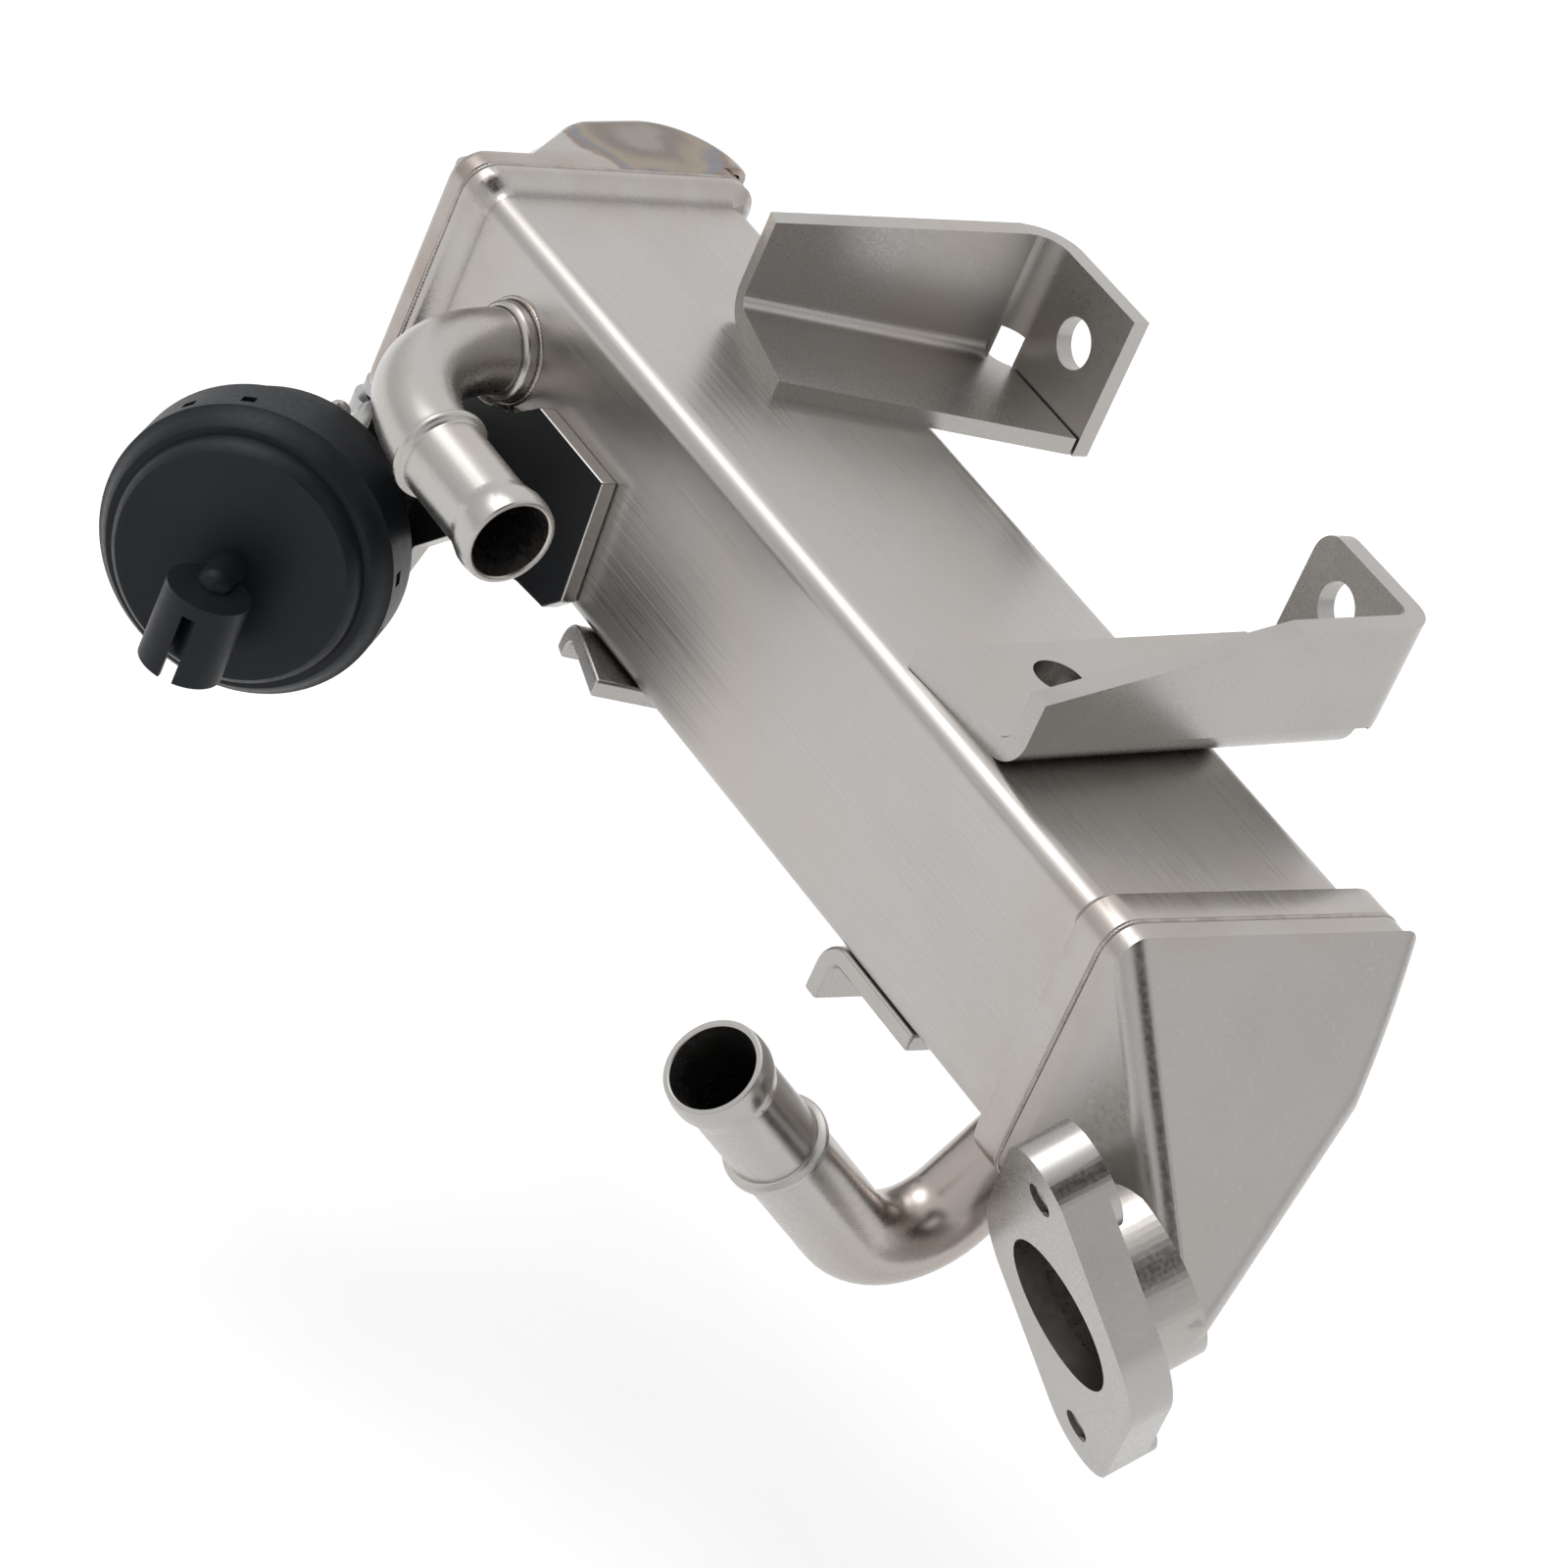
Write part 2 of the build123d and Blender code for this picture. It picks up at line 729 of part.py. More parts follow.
lower_foot = lower_mouth - lower_axis * spigot_length
lower_start = lower_root - lower_inlet * pipe_r
with BuildPart() as lower_coolant_pipe:
    with BuildLine() as lower_path:
        FilletPolyline(lower_start, lower_corner, lower_foot, radius=lower_bend_r)
    with BuildSketch(Plane(origin=lower_start, z_dir=lower_inlet)):
        Circle(pipe_r)
        Circle(pipe_r - pipe_wall, mode=Mode.SUBTRACT)
    sweep(path=lower_path.line)
    add(spigot(lower_foot, lower_axis))
    add(core_space.part, mode=Mode.SUBTRACT)

# Vacuum actuator: can, clamped diaphragm, cover with the port and its shroud
front = push * -1
clamp_back = -cover_wall / 2 - diaphragm_t - 2 * diaphragm_gap
with BuildPart() as actuator_can:
    flange_r = cover_r - cover_wall - cover_fit
    can_points = [
        (rod_r + rod_clearance, -can_depth),
        (can_r - can_edge, -can_depth),
        (can_r, -can_depth + can_edge),
        (can_r, clamp_back - can_wall),
        (flange_r, clamp_back - can_wall),
        (flange_r, clamp_back),
        (can_r - can_wall, clamp_back),
        (can_r - can_wall, -can_depth + can_edge),
        (can_r - can_edge, -can_depth + can_wall),
        (rod_r + rod_clearance, -can_depth + can_wall),
    ]
    revolve(turned(rim_centre, front, can_points), axis=Axis(rim_centre, front))
    with BuildSketch(Plane(origin=can_back, x_dir=(0, 0, 1), z_dir=front)):
        with GridLocations(stud_spacing, 0, 2, 1):
            Circle(stud_r + stud_fit)
    extrude(amount=can_wall, mode=Mode.SUBTRACT)

with BuildPart() as diaphragm:
    diaphragm_front = -cover_wall / 2 - diaphragm_gap
    diaphragm_points = [
        (diaphragm_bore_r, diaphragm_front),
        (flange_r, diaphragm_front),
        (flange_r, diaphragm_front - diaphragm_t),
        (diaphragm_bore_r, diaphragm_front - diaphragm_t),
    ]
    revolve(turned(rim_centre, front, diaphragm_points), axis=Axis(rim_centre, front))

disc_centre = rim_centre + front * disc_height
shroud_centre = disc_centre + front * shroud_reach
with BuildPart() as actuator_cover:
    cover_points = [
        (0, disc_height - disc_dish),
        (dish_r - disc_dish, disc_height - disc_dish),
        (dish_r + disc_dish, disc_height),
        (disc_r - disc_edge, disc_height),
        (disc_r, disc_height - disc_edge),
        (groove_r, groove_height),
        (shoulder_r - cover_edge, groove_height),
        (shoulder_r, groove_height - cover_edge),
        (cover_r - cover_edge, cover_edge),
        (cover_r, 0),
        (cover_r, -cover_skirt),
        (cover_r - cover_wall, -cover_skirt),
        (cover_r - cover_wall, -cover_wall / 2),
        (shoulder_r - cover_wall, -cover_wall / 2),
        (shoulder_r - cover_wall, groove_height - cover_wall),
        (disc_r - cover_wall, groove_height - cover_wall / 2),
        (disc_r - cover_wall, disc_height - disc_dish - cover_wall),
        (0, disc_height - disc_dish - cover_wall),
    ]
    revolve(turned(rim_centre, front, cover_points), axis=Axis(rim_centre, front))
    with BuildSketch(Plane(origin=shroud_centre, x_dir=front, z_dir=(0, 0, -1))):
        Circle(shroud_r)
    extrude(amount=shroud_length)
    shroud_roof = shroud_centre - Vector(0, 0, shroud_wall)
    with BuildSketch(Plane(origin=shroud_roof, x_dir=front, z_dir=(0, 0, -1))):
        Circle(shroud_r - shroud_wall)
    extrude(amount=shroud_length, mode=Mode.SUBTRACT)
    slot_top = shroud_centre - Vector(0, 0, 2 * shroud_wall)
    with BuildSketch(Plane(origin=slot_top, x_dir=front, z_dir=(0, 0, -1))):
        with Locations((shroud_r, 0)):
            Rectangle(2 * shroud_r, shroud_slot)
    extrude(amount=shroud_length, mode=Mode.SUBTRACT)
    with BuildSketch(Plane(origin=rim_centre - front * snap_back, x_dir=(0, 0, 1), z_dir=front)):
        for side in (-snap_half, snap_half):
            with PolarLocations(cover_r, 3, start_angle=snap_turn + side):
                Rectangle(2 * cover_wall, snap_width)
    extrude(amount=-snap_depth, mode=Mode.SUBTRACT)
    port_points = [
        (0, -disc_dish - cover_wall / 2),
        (port_r, -disc_dish - cover_wall / 2),
        (port_r, port_reach),
        (port_r * 0.8, port_reach + port_r * 0.6),
        (port_r * 0.4, port_reach + port_r * 0.9),
        (0, port_reach + port_r),
    ]
    revolve(turned(disc_centre, front, port_points), axis=Axis(disc_centre, front))
    with BuildSketch(Plane(origin=shroud_centre, x_dir=front, z_dir=(0, 0, -1))):
        Circle(nipple_r)
        Circle(nipple_bore_r, mode=Mode.SUBTRACT)
    extrude(amount=shroud_length - 2 * shroud_wall)
    with BuildSketch(Plane(origin=rim_centre, x_dir=(0, 0, 1), z_dir=front)):
        Circle(nipple_bore_r)
    extrude(amount=disc_height + port_reach + nipple_bore_r, mode=Mode.SUBTRACT)
    bore_top = shroud_centre - Vector(0, 0, nipple_bore_r / 2)
    with BuildSketch(Plane(origin=bore_top, x_dir=front, z_dir=(0, 0, -1))):
        Circle(nipple_bore_r)
    extrude(amount=shroud_length, mode=Mode.SUBTRACT)

with BuildPart() as piston_plate:
    piston_points = [
        (rod_r + press_fit, -piston_rest),
        (piston_r, -piston_rest),
        (piston_r, -piston_rest - piston_t),
        (rod_r + press_fit, -piston_rest - piston_t),
    ]
    revolve(turned(rim_centre, front, piston_points), axis=Axis(rim_centre, front))

rod_start = rim_centre - front * (piston_rest - 1.0)
rod_length = (rest_eye - rod_start).dot(push) - eye_r + eye_lap
with BuildPart() as actuator_rod:
    with BuildSketch(Plane(origin=rod_start, x_dir=(0, 0, 1), z_dir=push)):
        Circle(rod_r)
    extrude(amount=rod_length)

with BuildPart() as rod_eye:
    with BuildSketch(Plane(origin=rest_eye - Vector(0, 0, eye_t / 2), x_dir=front)):
        Circle(eye_r)
        Circle(pin_r + pin_clearance, mode=Mode.SUBTRACT)
    extrude(amount=eye_t)
    with BuildSketch(Plane(origin=rod_start, x_dir=(0, 0, 1), z_dir=push)):
        Circle(rod_r)
    extrude(amount=rod_length, mode=Mode.SUBTRACT)

stud_plane = Plane(origin=can_back - push * can_wall, x_dir=(0, 0, 1), z_dir=push)
with BuildPart() as actuator_studs:
    with BuildSketch(stud_plane):
        with GridLocations(stud_spacing, 0, 2, 1):
            Circle(stud_r)
    extrude(amount=can_wall + carrier_t + stud_length)

nut_plane = Plane(origin=can_back + push * carrier_t, x_dir=(0, 0, 1), z_dir=push)
with BuildPart() as stud_nuts:
    with BuildSketch(nut_plane):
        with GridLocations(stud_spacing, 0, 2, 1):
            RegularPolygon(nut_r, 6)
            Circle(stud_r + stud_fit, mode=Mode.SUBTRACT)
    extrude(amount=nut_height)

# Bypass flap on its shaft, the bush in the tank's floor, the lever and its pin
flap_plane = Plane(
    origin=shaft_foot + Vector(0, 0, actuator_z_offset - flap_height / 2),
    x_dir=rest_flap,
    z_dir=(0, 0, 1),
)
with BuildPart() as bypass_flap:
    with BuildSketch(flap_plane):
        with Locations((flap_width / 2, flap_hub_r - flap_t / 2)):
            Rectangle(flap_width, flap_t)
        Circle(flap_hub_r)
        Circle(shaft_r + press_fit, mode=Mode.SUBTRACT)
    extrude(amount=flap_height)

lever_bottom = eye_t / 2 + lever_gap
lever_plane = Plane(origin=shaft_foot + Vector(0, 0, lever_bottom), x_dir=rest_arm, z_dir=(0, 0, 1))
with BuildPart() as flap_shaft:
    with BuildSketch(lever_plane):
        Circle(shaft_r)
    extrude(amount=actuator_z_offset + shaft_top - lever_bottom)

with BuildPart() as shaft_bush:
    with BuildSketch(lever_plane.offset(lever_t + bush_gap)):
        Circle(bush_r)
        Circle(shaft_r + shaft_fit, mode=Mode.SUBTRACT)
    extrude(amount=actuator_z_offset + bush_top - lever_bottom - lever_t - bush_gap)

pin_length = lever_bottom + eye_t / 2 + clip_gap + clip_t + pin_tail
with BuildPart() as flap_lever:
    with BuildSketch(lever_plane):
        Circle(lever_hub_r)
        with Locations((arm_length, 0)):
            Circle(lever_tip_r)
        make_hull()
        Circle(shaft_r + press_fit, mode=Mode.SUBTRACT)
    extrude(amount=lever_t)
    with BuildSketch(lever_plane):
        with Locations((arm_length, 0)):
            Circle(pin_r)
    extrude(amount=-pin_length)

clip_plane = lever_plane.offset(-lever_bottom - eye_t / 2 - clip_gap)
with BuildPart() as retaining_clip:
    with BuildSketch(clip_plane):
        with Locations((arm_length, 0)):
            Circle(clip_r)
            Circle(pin_r + press_fit, mode=Mode.SUBTRACT)
    extrude(amount=-clip_t)


# Actuator bracket: a plate on the core's near side, folded behind the actuator
near_face_y = core_y - core_width / 2
carrier_half = carrier_t / 2
carrier_middle = can_back + push * carrier_half
fold_reach = (near_face_y - carrier_half - carrier_middle.Y) / aside.Y
fold_point = carrier_middle + aside * fold_reach
fold_tip = carrier_middle + aside * carrier_tip
with BuildPart() as carrier_space:
    with BuildSketch(Plane(origin=spot(outlet_end, 0, 0), x_dir=(1, 0, 0), z_dir=(0, -1, 0))):
        with BuildLine():
            Polyline(*carrier_outline, close=True)
        make_face()
    extrude(amount=3 * core_width, both=True)
    with BuildSketch(Plane(origin=can_back, x_dir=(0, 0, 1), z_dir=push)):
        Circle(carrier_r)
    extrude(amount=2 * carrier_t, both=True)

with BuildPart() as actuator_bracket:
    with BuildSketch(Plane(origin=(0, 0, core_z + carrier_bottom))):
        with BuildLine():
            FilletPolyline(
                (joint_x + outlet_end + carrier_near_x, near_face_y - carrier_half),
                (fold_point.X, fold_point.Y),
                (fold_tip.X, fold_tip.Y),
                radius=carrier_bend_r + carrier_half,
            )
        trace(line_width=carrier_t)
    extrude(amount=3 * core_height)
    add(carrier_space.part, mode=Mode.INTERSECT)
    with BuildSketch(Plane(origin=upper_root, z_dir=(0, -1, 0))):
        Circle(collar_r + collar_gap)
    extrude(amount=2 * carrier_t, mode=Mode.SUBTRACT)
    with BuildSketch(Plane(origin=can_back, x_dir=(0, 0, 1), z_dir=push)):
        Circle(rod_r + rod_clearance)
        with GridLocations(stud_spacing, 0, 2, 1):
            Circle(stud_r + stud_clearance)
    extrude(amount=2 * carrier_t, both=True, mode=Mode.SUBTRACT)


# Mounting brackets, folded from sheet
def folded(origin, along, right, length, thickness, width, height):
    """An L of sheet: a base to the right of its bend and an upright on the bend."""
    half = thickness / 2
    with BuildPart() as angle:
        with BuildSketch(Plane(origin=origin, x_dir=right, z_dir=right.cross(Vector(0, 0, 1)))):
            with BuildLine():
                FilletPolyline((width, half), (-half, half), (-half, height), radius=sheet_bend_r + half)
            trace(line_width=thickness)
        toward = 1 if right.cross(Vector(0, 0, 1)).dot(along) > 0 else -1
        extrude(amount=toward * length)
    return angle.part


def upstand(points, bend_r, thickness, bottom, top):
    """An upright strip of sheet that follows a bent line in plan."""
    with BuildPart() as wall:
        with BuildSketch(level(bottom)):
            with BuildLine():
                FilletPolyline(*points, radius=bend_r + thickness / 2)
            trace(line_width=thickness)
        extrude(amount=top - bottom)
    return wall.part


top_face = core_height / 2
fold_height = sheet_bend_r + 2 * sheet_t
a_along = Vector(sin(radians(bracket_a_turn)), cos(radians(bracket_a_turn)), 0)
a_right = Vector(cos(radians(bracket_a_turn)), -sin(radians(bracket_a_turn)), 0)
a_half = bracket_a_t / 2
a_start = Vector(bracket_a_x, bracket_a_y, 0) - a_right * a_half
a_reach = (bracket_a_tab_y + a_half - a_start.Y) / a_along.Y
a_corner = a_start + a_along * a_reach
a_end = (bracket_a_tab_end, bracket_a_tab_y + a_half)
a_foot = Vector(bracket_a_x, bracket_a_y, 0)
a_edge = a_foot + a_right * bracket_a_width
a_seam_y = bracket_a_tab_y - foot_gap
with BuildPart() as bracket_a:
    a_line = [(a_start.X, a_start.Y), (a_corner.X, a_corner.Y), a_end]
    add(upstand(a_line, bracket_a_bend_r, bracket_a_t, top_face, 2 * core_height))
    with BuildSketch(level(top_face)):
        with Locations(Location((a_start.X, a_start.Y), 90 - bracket_a_turn)):
            Rectangle(2 * (a_reach - bracket_a_bend_r), 4 * bracket_a_t)
    extrude(amount=fold_height - bracket_a_t, mode=Mode.SUBTRACT)
    a_origin = spot(bracket_a_x, bracket_a_y, top_face)
    a_size = (bracket_a_length, bracket_a_t, bracket_a_width, fold_height)
    add(folded(a_origin, a_along, a_right, *a_size))
    with BuildSketch(Plane(origin=spot(bracket_a_x, 0, 0), x_dir=(0, 1, 0), z_dir=(1, 0, 0))):
        with BuildLine():
            Polyline(
                (-core_width, top_face),
                (-core_width, bracket_a_low),
                (bracket_a_y, bracket_a_low),
                (bracket_a_tab_y - bracket_a_bend_r, bracket_a_high),
                (core_width * 2, bracket_a_high),
                (core_width * 2, top_face),
                close=True,
            )
        make_face()
    extrude(amount=core_length / 2, both=True, mode=Mode.INTERSECT)
    a_hole = spot(bracket_a_hole_x, bracket_a_tab_y, bracket_a_hole_z)
    with BuildSketch(Plane(origin=a_hole, z_dir=(0, 1, 0))):
        Circle(mount_hole_r)
    extrude(amount=bracket_a_t, mode=Mode.SUBTRACT)
    with BuildSketch(level(top_face)):
        with BuildLine():
            Polyline(
                a_foot + a_along * (bracket_a_length / 2),
                a_foot + a_along * ((a_seam_y - a_foot.Y) / a_along.Y),
                a_edge + a_along * ((a_seam_y - a_edge.Y) / a_along.Y),
                a_edge + a_along * (bracket_a_length / 2),
                close=True,
            )
        make_face()
    extrude(amount=bracket_a_t)
    with BuildSketch(level(top_face)):
        with Locations((a_corner.X, a_corner.Y)):
            Circle(relief_r)
    extrude(amount=fold_height, mode=Mode.SUBTRACT)

b_along = Vector(-sin(radians(bracket_b_turn)), cos(radians(bracket_b_turn)), 0)
b_left = Vector(-cos(radians(bracket_b_turn)), -sin(radians(bracket_b_turn)), 0)
b_half = bracket_b_t / 2
b_start = Vector(bracket_b_x, bracket_b_y, 0) - b_left * b_half
b_reach = (bracket_b_tab_y + b_half - b_start.Y) / b_along.Y
b_corner = b_start + b_along * b_reach
b_end = (bracket_b_tab_end, bracket_b_tab_y + b_half)
with BuildPart() as bracket_b:
    b_line = [(b_start.X, b_start.Y), (b_corner.X, b_corner.Y), b_end]
    b_bottom = top_face + bracket_b_t + bracket_b_lift
    add(upstand(b_line, bracket_b_bend_r, bracket_b_t, b_bottom, 2 * core_height))
    with BuildSketch(level(top_face)):
        with Locations(Location((b_start.X, b_start.Y), 90 + bracket_b_turn)):
            Rectangle(2 * (b_reach - bracket_b_bend_r), 4 * bracket_b_t)
    extrude(amount=fold_height - bracket_b_t, mode=Mode.SUBTRACT)
    b_origin = spot(bracket_b_x, bracket_b_y, top_face)
    b_size = (bracket_b_length, bracket_b_t, bracket_b_width, fold_height)
    add(folded(b_origin, b_along, b_left, *b_size))
    with BuildSketch(Plane(origin=spot(bracket_b_x, 0, 0), x_dir=(0, 1, 0), z_dir=(1, 0, 0))):
        with BuildLine():
            Polyline(
                (-core_width, top_face),
                (-core_width, bracket_b_low - bracket_b_slope),
                (bracket_b_y, bracket_b_low),
                (bracket_b_level, bracket_b_high),
                (bracket_b_tab_y + bracket_b_t, bracket_b_high),
                (bracket_b_tab_y + bracket_b_t, bracket_b_corner_z),
                (bracket_b_tab_y - bracket_b_corner_y, top_face),
                close=True,
            )
        make_face()
    extrude(amount=core_length / 2, both=True, mode=Mode.INTERSECT)
    tab_corner = bracket_b.edges().filter_by(Axis.Y).group_by(Axis.X)[0].sort_by(Axis.Z)[-1]
    fillet(tab_corner, radius=bracket_b_tab_corner)
    b_hole = spot(bracket_b_hole_x, bracket_b_tab_y, bracket_b_hole_z)
    with BuildSketch(Plane(origin=b_hole, z_dir=(0, 1, 0))):
        Circle(mount_hole_r)
    extrude(amount=bracket_b_t, mode=Mode.SUBTRACT)
    with BuildSketch(level(top_face)):
        with Locations((bracket_b_base_hole_x, bracket_b_base_hole_y)):
            Circle(mount_hole_r)
    extrude(amount=bracket_b_t, mode=Mode.SUBTRACT)

with BuildPart() as bracket_c:
    c_origin = spot(0, bracket_c_near_y, -core_height / 2)
    with BuildSketch(Plane(origin=c_origin, x_dir=(1, 0, 0), z_dir=(0, -1, 0))):
        with BuildLine():
            FilletPolyline(
                (bracket_c_right, -sheet_t / 2),
                (bracket_c_left + sheet_t / 2, -sheet_t / 2),
                (bracket_c_left + sheet_t / 2, -bracket_c_drop),
                radius=sheet_bend_r + sheet_t / 2,
            )
        trace(line_width=sheet_t)
    extrude(amount=bracket_c_near_y - bracket_c_far_y)

d_along = Vector(sin(radians(bracket_d_turn)), cos(radians(bracket_d_turn)), 0)
d_right = Vector(cos(radians(bracket_d_turn)), -sin(radians(bracket_d_turn)), 0)
d_plane = Plane(
    origin=spot(bracket_d_left, bracket_d_near_y, -core_height / 2),
    x_dir=d_right,
    z_dir=d_along * -1,
)
with BuildPart() as bracket_d:
    with BuildSketch(d_plane):
        with BuildLine():
            FilletPolyline(
                (bracket_d_right - bracket_d_left, -sheet_t / 2),
                (sheet_t / 2, -sheet_t / 2),
                (sheet_t / 2, -bracket_d_drop),
                radius=sheet_bend_r + sheet_t / 2,
            )
        trace(line_width=sheet_t)
    extrude(amount=-bracket_d_length)


finished = {
    "shell_tube": shell_tube,
    "inlet_tank": inlet_tank,
    "inlet_flange": inlet_flange,
    "outlet_tank": outlet_tank,
    "outlet_flange": outlet_flange,
    "header_plate_inlet": header_plate_inlet,
    "header_plate_outlet": header_plate_outlet,
    "gas_tubes": gas_tubes,
    "bypass_tube": bypass_tube,
    "support_baffle": support_baffle,
    "upper_coolant_pipe": upper_coolant_pipe,
    "upper_collar": upper_collar,
    "lower_coolant_pipe": lower_coolant_pipe,
    "actuator_can": actuator_can,
    "actuator_cover": actuator_cover,
    "diaphragm": diaphragm,
    "piston_plate": piston_plate,
    "actuator_rod": actuator_rod,
    "rod_eye": rod_eye,
    "actuator_studs": actuator_studs,
    "stud_nuts": stud_nuts,
    "bypass_flap": bypass_flap,
    "flap_shaft": flap_shaft,
    "shaft_bush": shaft_bush,
    "flap_lever": flap_lever,
    "retaining_clip": retaining_clip,
    "actuator_bracket": actuator_bracket,
    "bracket_a": bracket_a,
    "bracket_b": bracket_b,
    "bracket_c": bracket_c,
    "bracket_d": bracket_d,
}
for label, piece in finished.items():
    piece.part.label = label
    export_step(piece.part, f"parts/{label}.step")
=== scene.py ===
"""Studio picture of an exhaust gas recirculation cooler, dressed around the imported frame.

Metres throughout, in the frame's own place: the origin is the centre of the inlet
flange's bore, X runs along the core towards the inlet end and Z is up.
"""
import json
import math

import bmesh
import bpy
import numpy as np
from mathutils import Matrix, Vector


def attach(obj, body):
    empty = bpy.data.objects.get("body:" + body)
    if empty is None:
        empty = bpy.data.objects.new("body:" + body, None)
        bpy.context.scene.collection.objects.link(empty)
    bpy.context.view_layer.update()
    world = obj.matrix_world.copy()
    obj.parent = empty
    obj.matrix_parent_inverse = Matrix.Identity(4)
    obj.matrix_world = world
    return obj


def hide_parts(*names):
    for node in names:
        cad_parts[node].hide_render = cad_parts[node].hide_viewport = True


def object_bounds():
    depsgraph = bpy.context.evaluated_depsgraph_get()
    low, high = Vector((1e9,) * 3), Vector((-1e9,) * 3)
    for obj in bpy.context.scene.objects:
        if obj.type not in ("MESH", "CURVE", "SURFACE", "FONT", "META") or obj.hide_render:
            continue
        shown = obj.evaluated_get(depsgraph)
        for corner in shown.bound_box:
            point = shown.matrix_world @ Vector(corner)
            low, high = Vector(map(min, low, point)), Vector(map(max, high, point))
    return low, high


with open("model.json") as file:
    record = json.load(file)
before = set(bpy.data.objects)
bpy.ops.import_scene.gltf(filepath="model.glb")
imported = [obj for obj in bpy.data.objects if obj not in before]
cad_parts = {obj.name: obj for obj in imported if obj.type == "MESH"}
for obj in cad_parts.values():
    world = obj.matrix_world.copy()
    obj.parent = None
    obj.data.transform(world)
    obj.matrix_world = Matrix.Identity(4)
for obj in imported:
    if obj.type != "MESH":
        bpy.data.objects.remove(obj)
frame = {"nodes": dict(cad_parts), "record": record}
cad_bounds = [list(corner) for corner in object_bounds()]


# Core tube. A welded rectangular tube of stainless sheet, brushed along its length, with
# both ends opened out to take the tanks. Heat has warmed the metal to a pinkish tint at
# the welded ends, and a dark patch beside the actuator bracket is painted shade.
class Finish:
    """One surface finish as a node tree on the part's own coordinates."""

    def __init__(self, name):
        self.material = bpy.data.materials.new(name)
        self.material.use_nodes = True
        self.tree = self.material.node_tree
        self.surface = self.tree.nodes["Principled BSDF"]
        self.place = self.add("ShaderNodeTexCoord").outputs["Object"]

    def add(self, kind, **settings):
        """A new node of a kind, with its settings."""
        node = self.tree.nodes.new(kind)
        for key, value in settings.items():
            setattr(node, key, value)
        return node

    def put(self, value, socket):
        """A number, a colour or another node's output into a socket."""
        if isinstance(value, (int, float)):
            socket.default_value = value
        elif isinstance(value, tuple):
            socket.default_value = (*value, 1.0) if len(socket.default_value) == 4 else value
        else:
            self.tree.links.new(value, socket)

    def grain(self, scale, detail=3.0, rough=0.5, at=(0, 0, 0)):
        """Noise with so many features per metre along X, Y and Z."""
        mapping = self.add("ShaderNodeMapping")
        self.put(self.place, mapping.inputs["Vector"])
        mapping.inputs["Scale"].default_value = scale
        mapping.inputs["Location"].default_value = at
        noise = self.add("ShaderNodeTexNoise")
        self.put(mapping.outputs["Vector"], noise.inputs["Vector"])
        for key, value in (("Scale", 1.0), ("Detail", detail), ("Roughness", rough)):
            noise.inputs[key].default_value = value
        return noise.outputs["Fac"]

    def ramp(self, value, low, high, start=0.0, end=1.0):
        """start up to the value low, end from the value high, smooth between."""
        node = self.add("ShaderNodeMapRange", interpolation_type="SMOOTHSTEP")
        for key, number in (("From Min", low), ("From Max", high), ("To Min", start), ("To Max", end)):
            node.inputs[key].default_value = number
        self.put(value, node.inputs["Value"])
        return node.outputs["Result"]

    def maths(self, operation, a, b):
        """Two values joined by one of the Math node's operations."""
        node = self.add("ShaderNodeMath", operation=operation)
        self.put(a, node.inputs[0])
        self.put(b, node.inputs[1])
        return node.outputs["Value"]

    def mix(self, share, a, b):
        """Colour a turning into colour b as the share goes from 0 to 1."""
        node = self.add("ShaderNodeMix", data_type="RGBA")
        for value, socket in ((share, node.inputs[0]), (a, node.inputs[6]), (b, node.inputs[7])):
            self.put(value, socket)
        return node.outputs[2]

    def along(self, axis):
        """The point's own X, Y or Z."""
        split = self.add("ShaderNodeSeparateXYZ")
        self.put(self.place, split.inputs["Vector"])
        return split.outputs[axis]

    def off(self, centre, reach):
        """Distance from a centre, as a share of a reach along each axis."""
        shift = self.add("ShaderNodeVectorMath", operation="SUBTRACT")
        self.put(self.place, shift.inputs[0])
        shift.inputs[1].default_value = centre
        share = self.add("ShaderNodeVectorMath", operation="DIVIDE")
        self.put(shift.outputs["Vector"], share.inputs[0])
        share.inputs[1].default_value = reach
        length = self.add("ShaderNodeVectorMath", operation="LENGTH")
        self.put(share.outputs["Vector"], length.inputs[0])
        return length.outputs["Value"]

    def relief(self, height, depth, strength, below=None):
        """A bump of so many metres from a pattern, on top of another one."""
        node = self.add("ShaderNodeBump")
        node.inputs["Strength"].default_value = strength
        node.inputs["Distance"].default_value = depth
        self.put(height, node.inputs["Height"])
        if below is not None:
            self.put(below, node.inputs["Normal"])
        return node.outputs["Normal"]

    def polish(self, fine, low, high, cloud, less, more):
        """Roughness from low to high with the fine grain, moved by less to more with the cloud."""
        return self.maths("ADD", self.ramp(fine, 0.3, 0.7, low, high), self.ramp(cloud, 0.3, 0.7, less, more))

    def done(self, colour, rough, normal, metal=1.0, shine=0.5):
        """Colour, roughness and relief on the surface, as metal or as plastic with a shine."""
        self.put(colour, self.surface.inputs["Base Color"])
        self.put(rough, self.surface.inputs["Roughness"])
        self.put(normal, self.surface.inputs["Normal"])
        self.surface.inputs["Metallic"].default_value = metal
        self.surface.inputs["Specular IOR Level"].default_value = shine
        return self.material


def times(tone, factor):
    """A colour made lighter or darker by a factor."""
    return tuple(channel * factor for channel in tone)


def clouded(finish, tone, cloud, share):
    """Soft patches of warmer and darker metal, as handling and heat leave them."""
    warm = (1.04, 0.97, 0.92)
    near = tuple(channel * part for channel, part in zip(tone, warm))
    colour = finish.mix(finish.ramp(cloud, 0.50, 0.78, 0.0, share), tone, near)
    return finish.mix(finish.ramp(cloud, 0.50, 0.22, 0.0, share), colour, times(tone, 0.86))


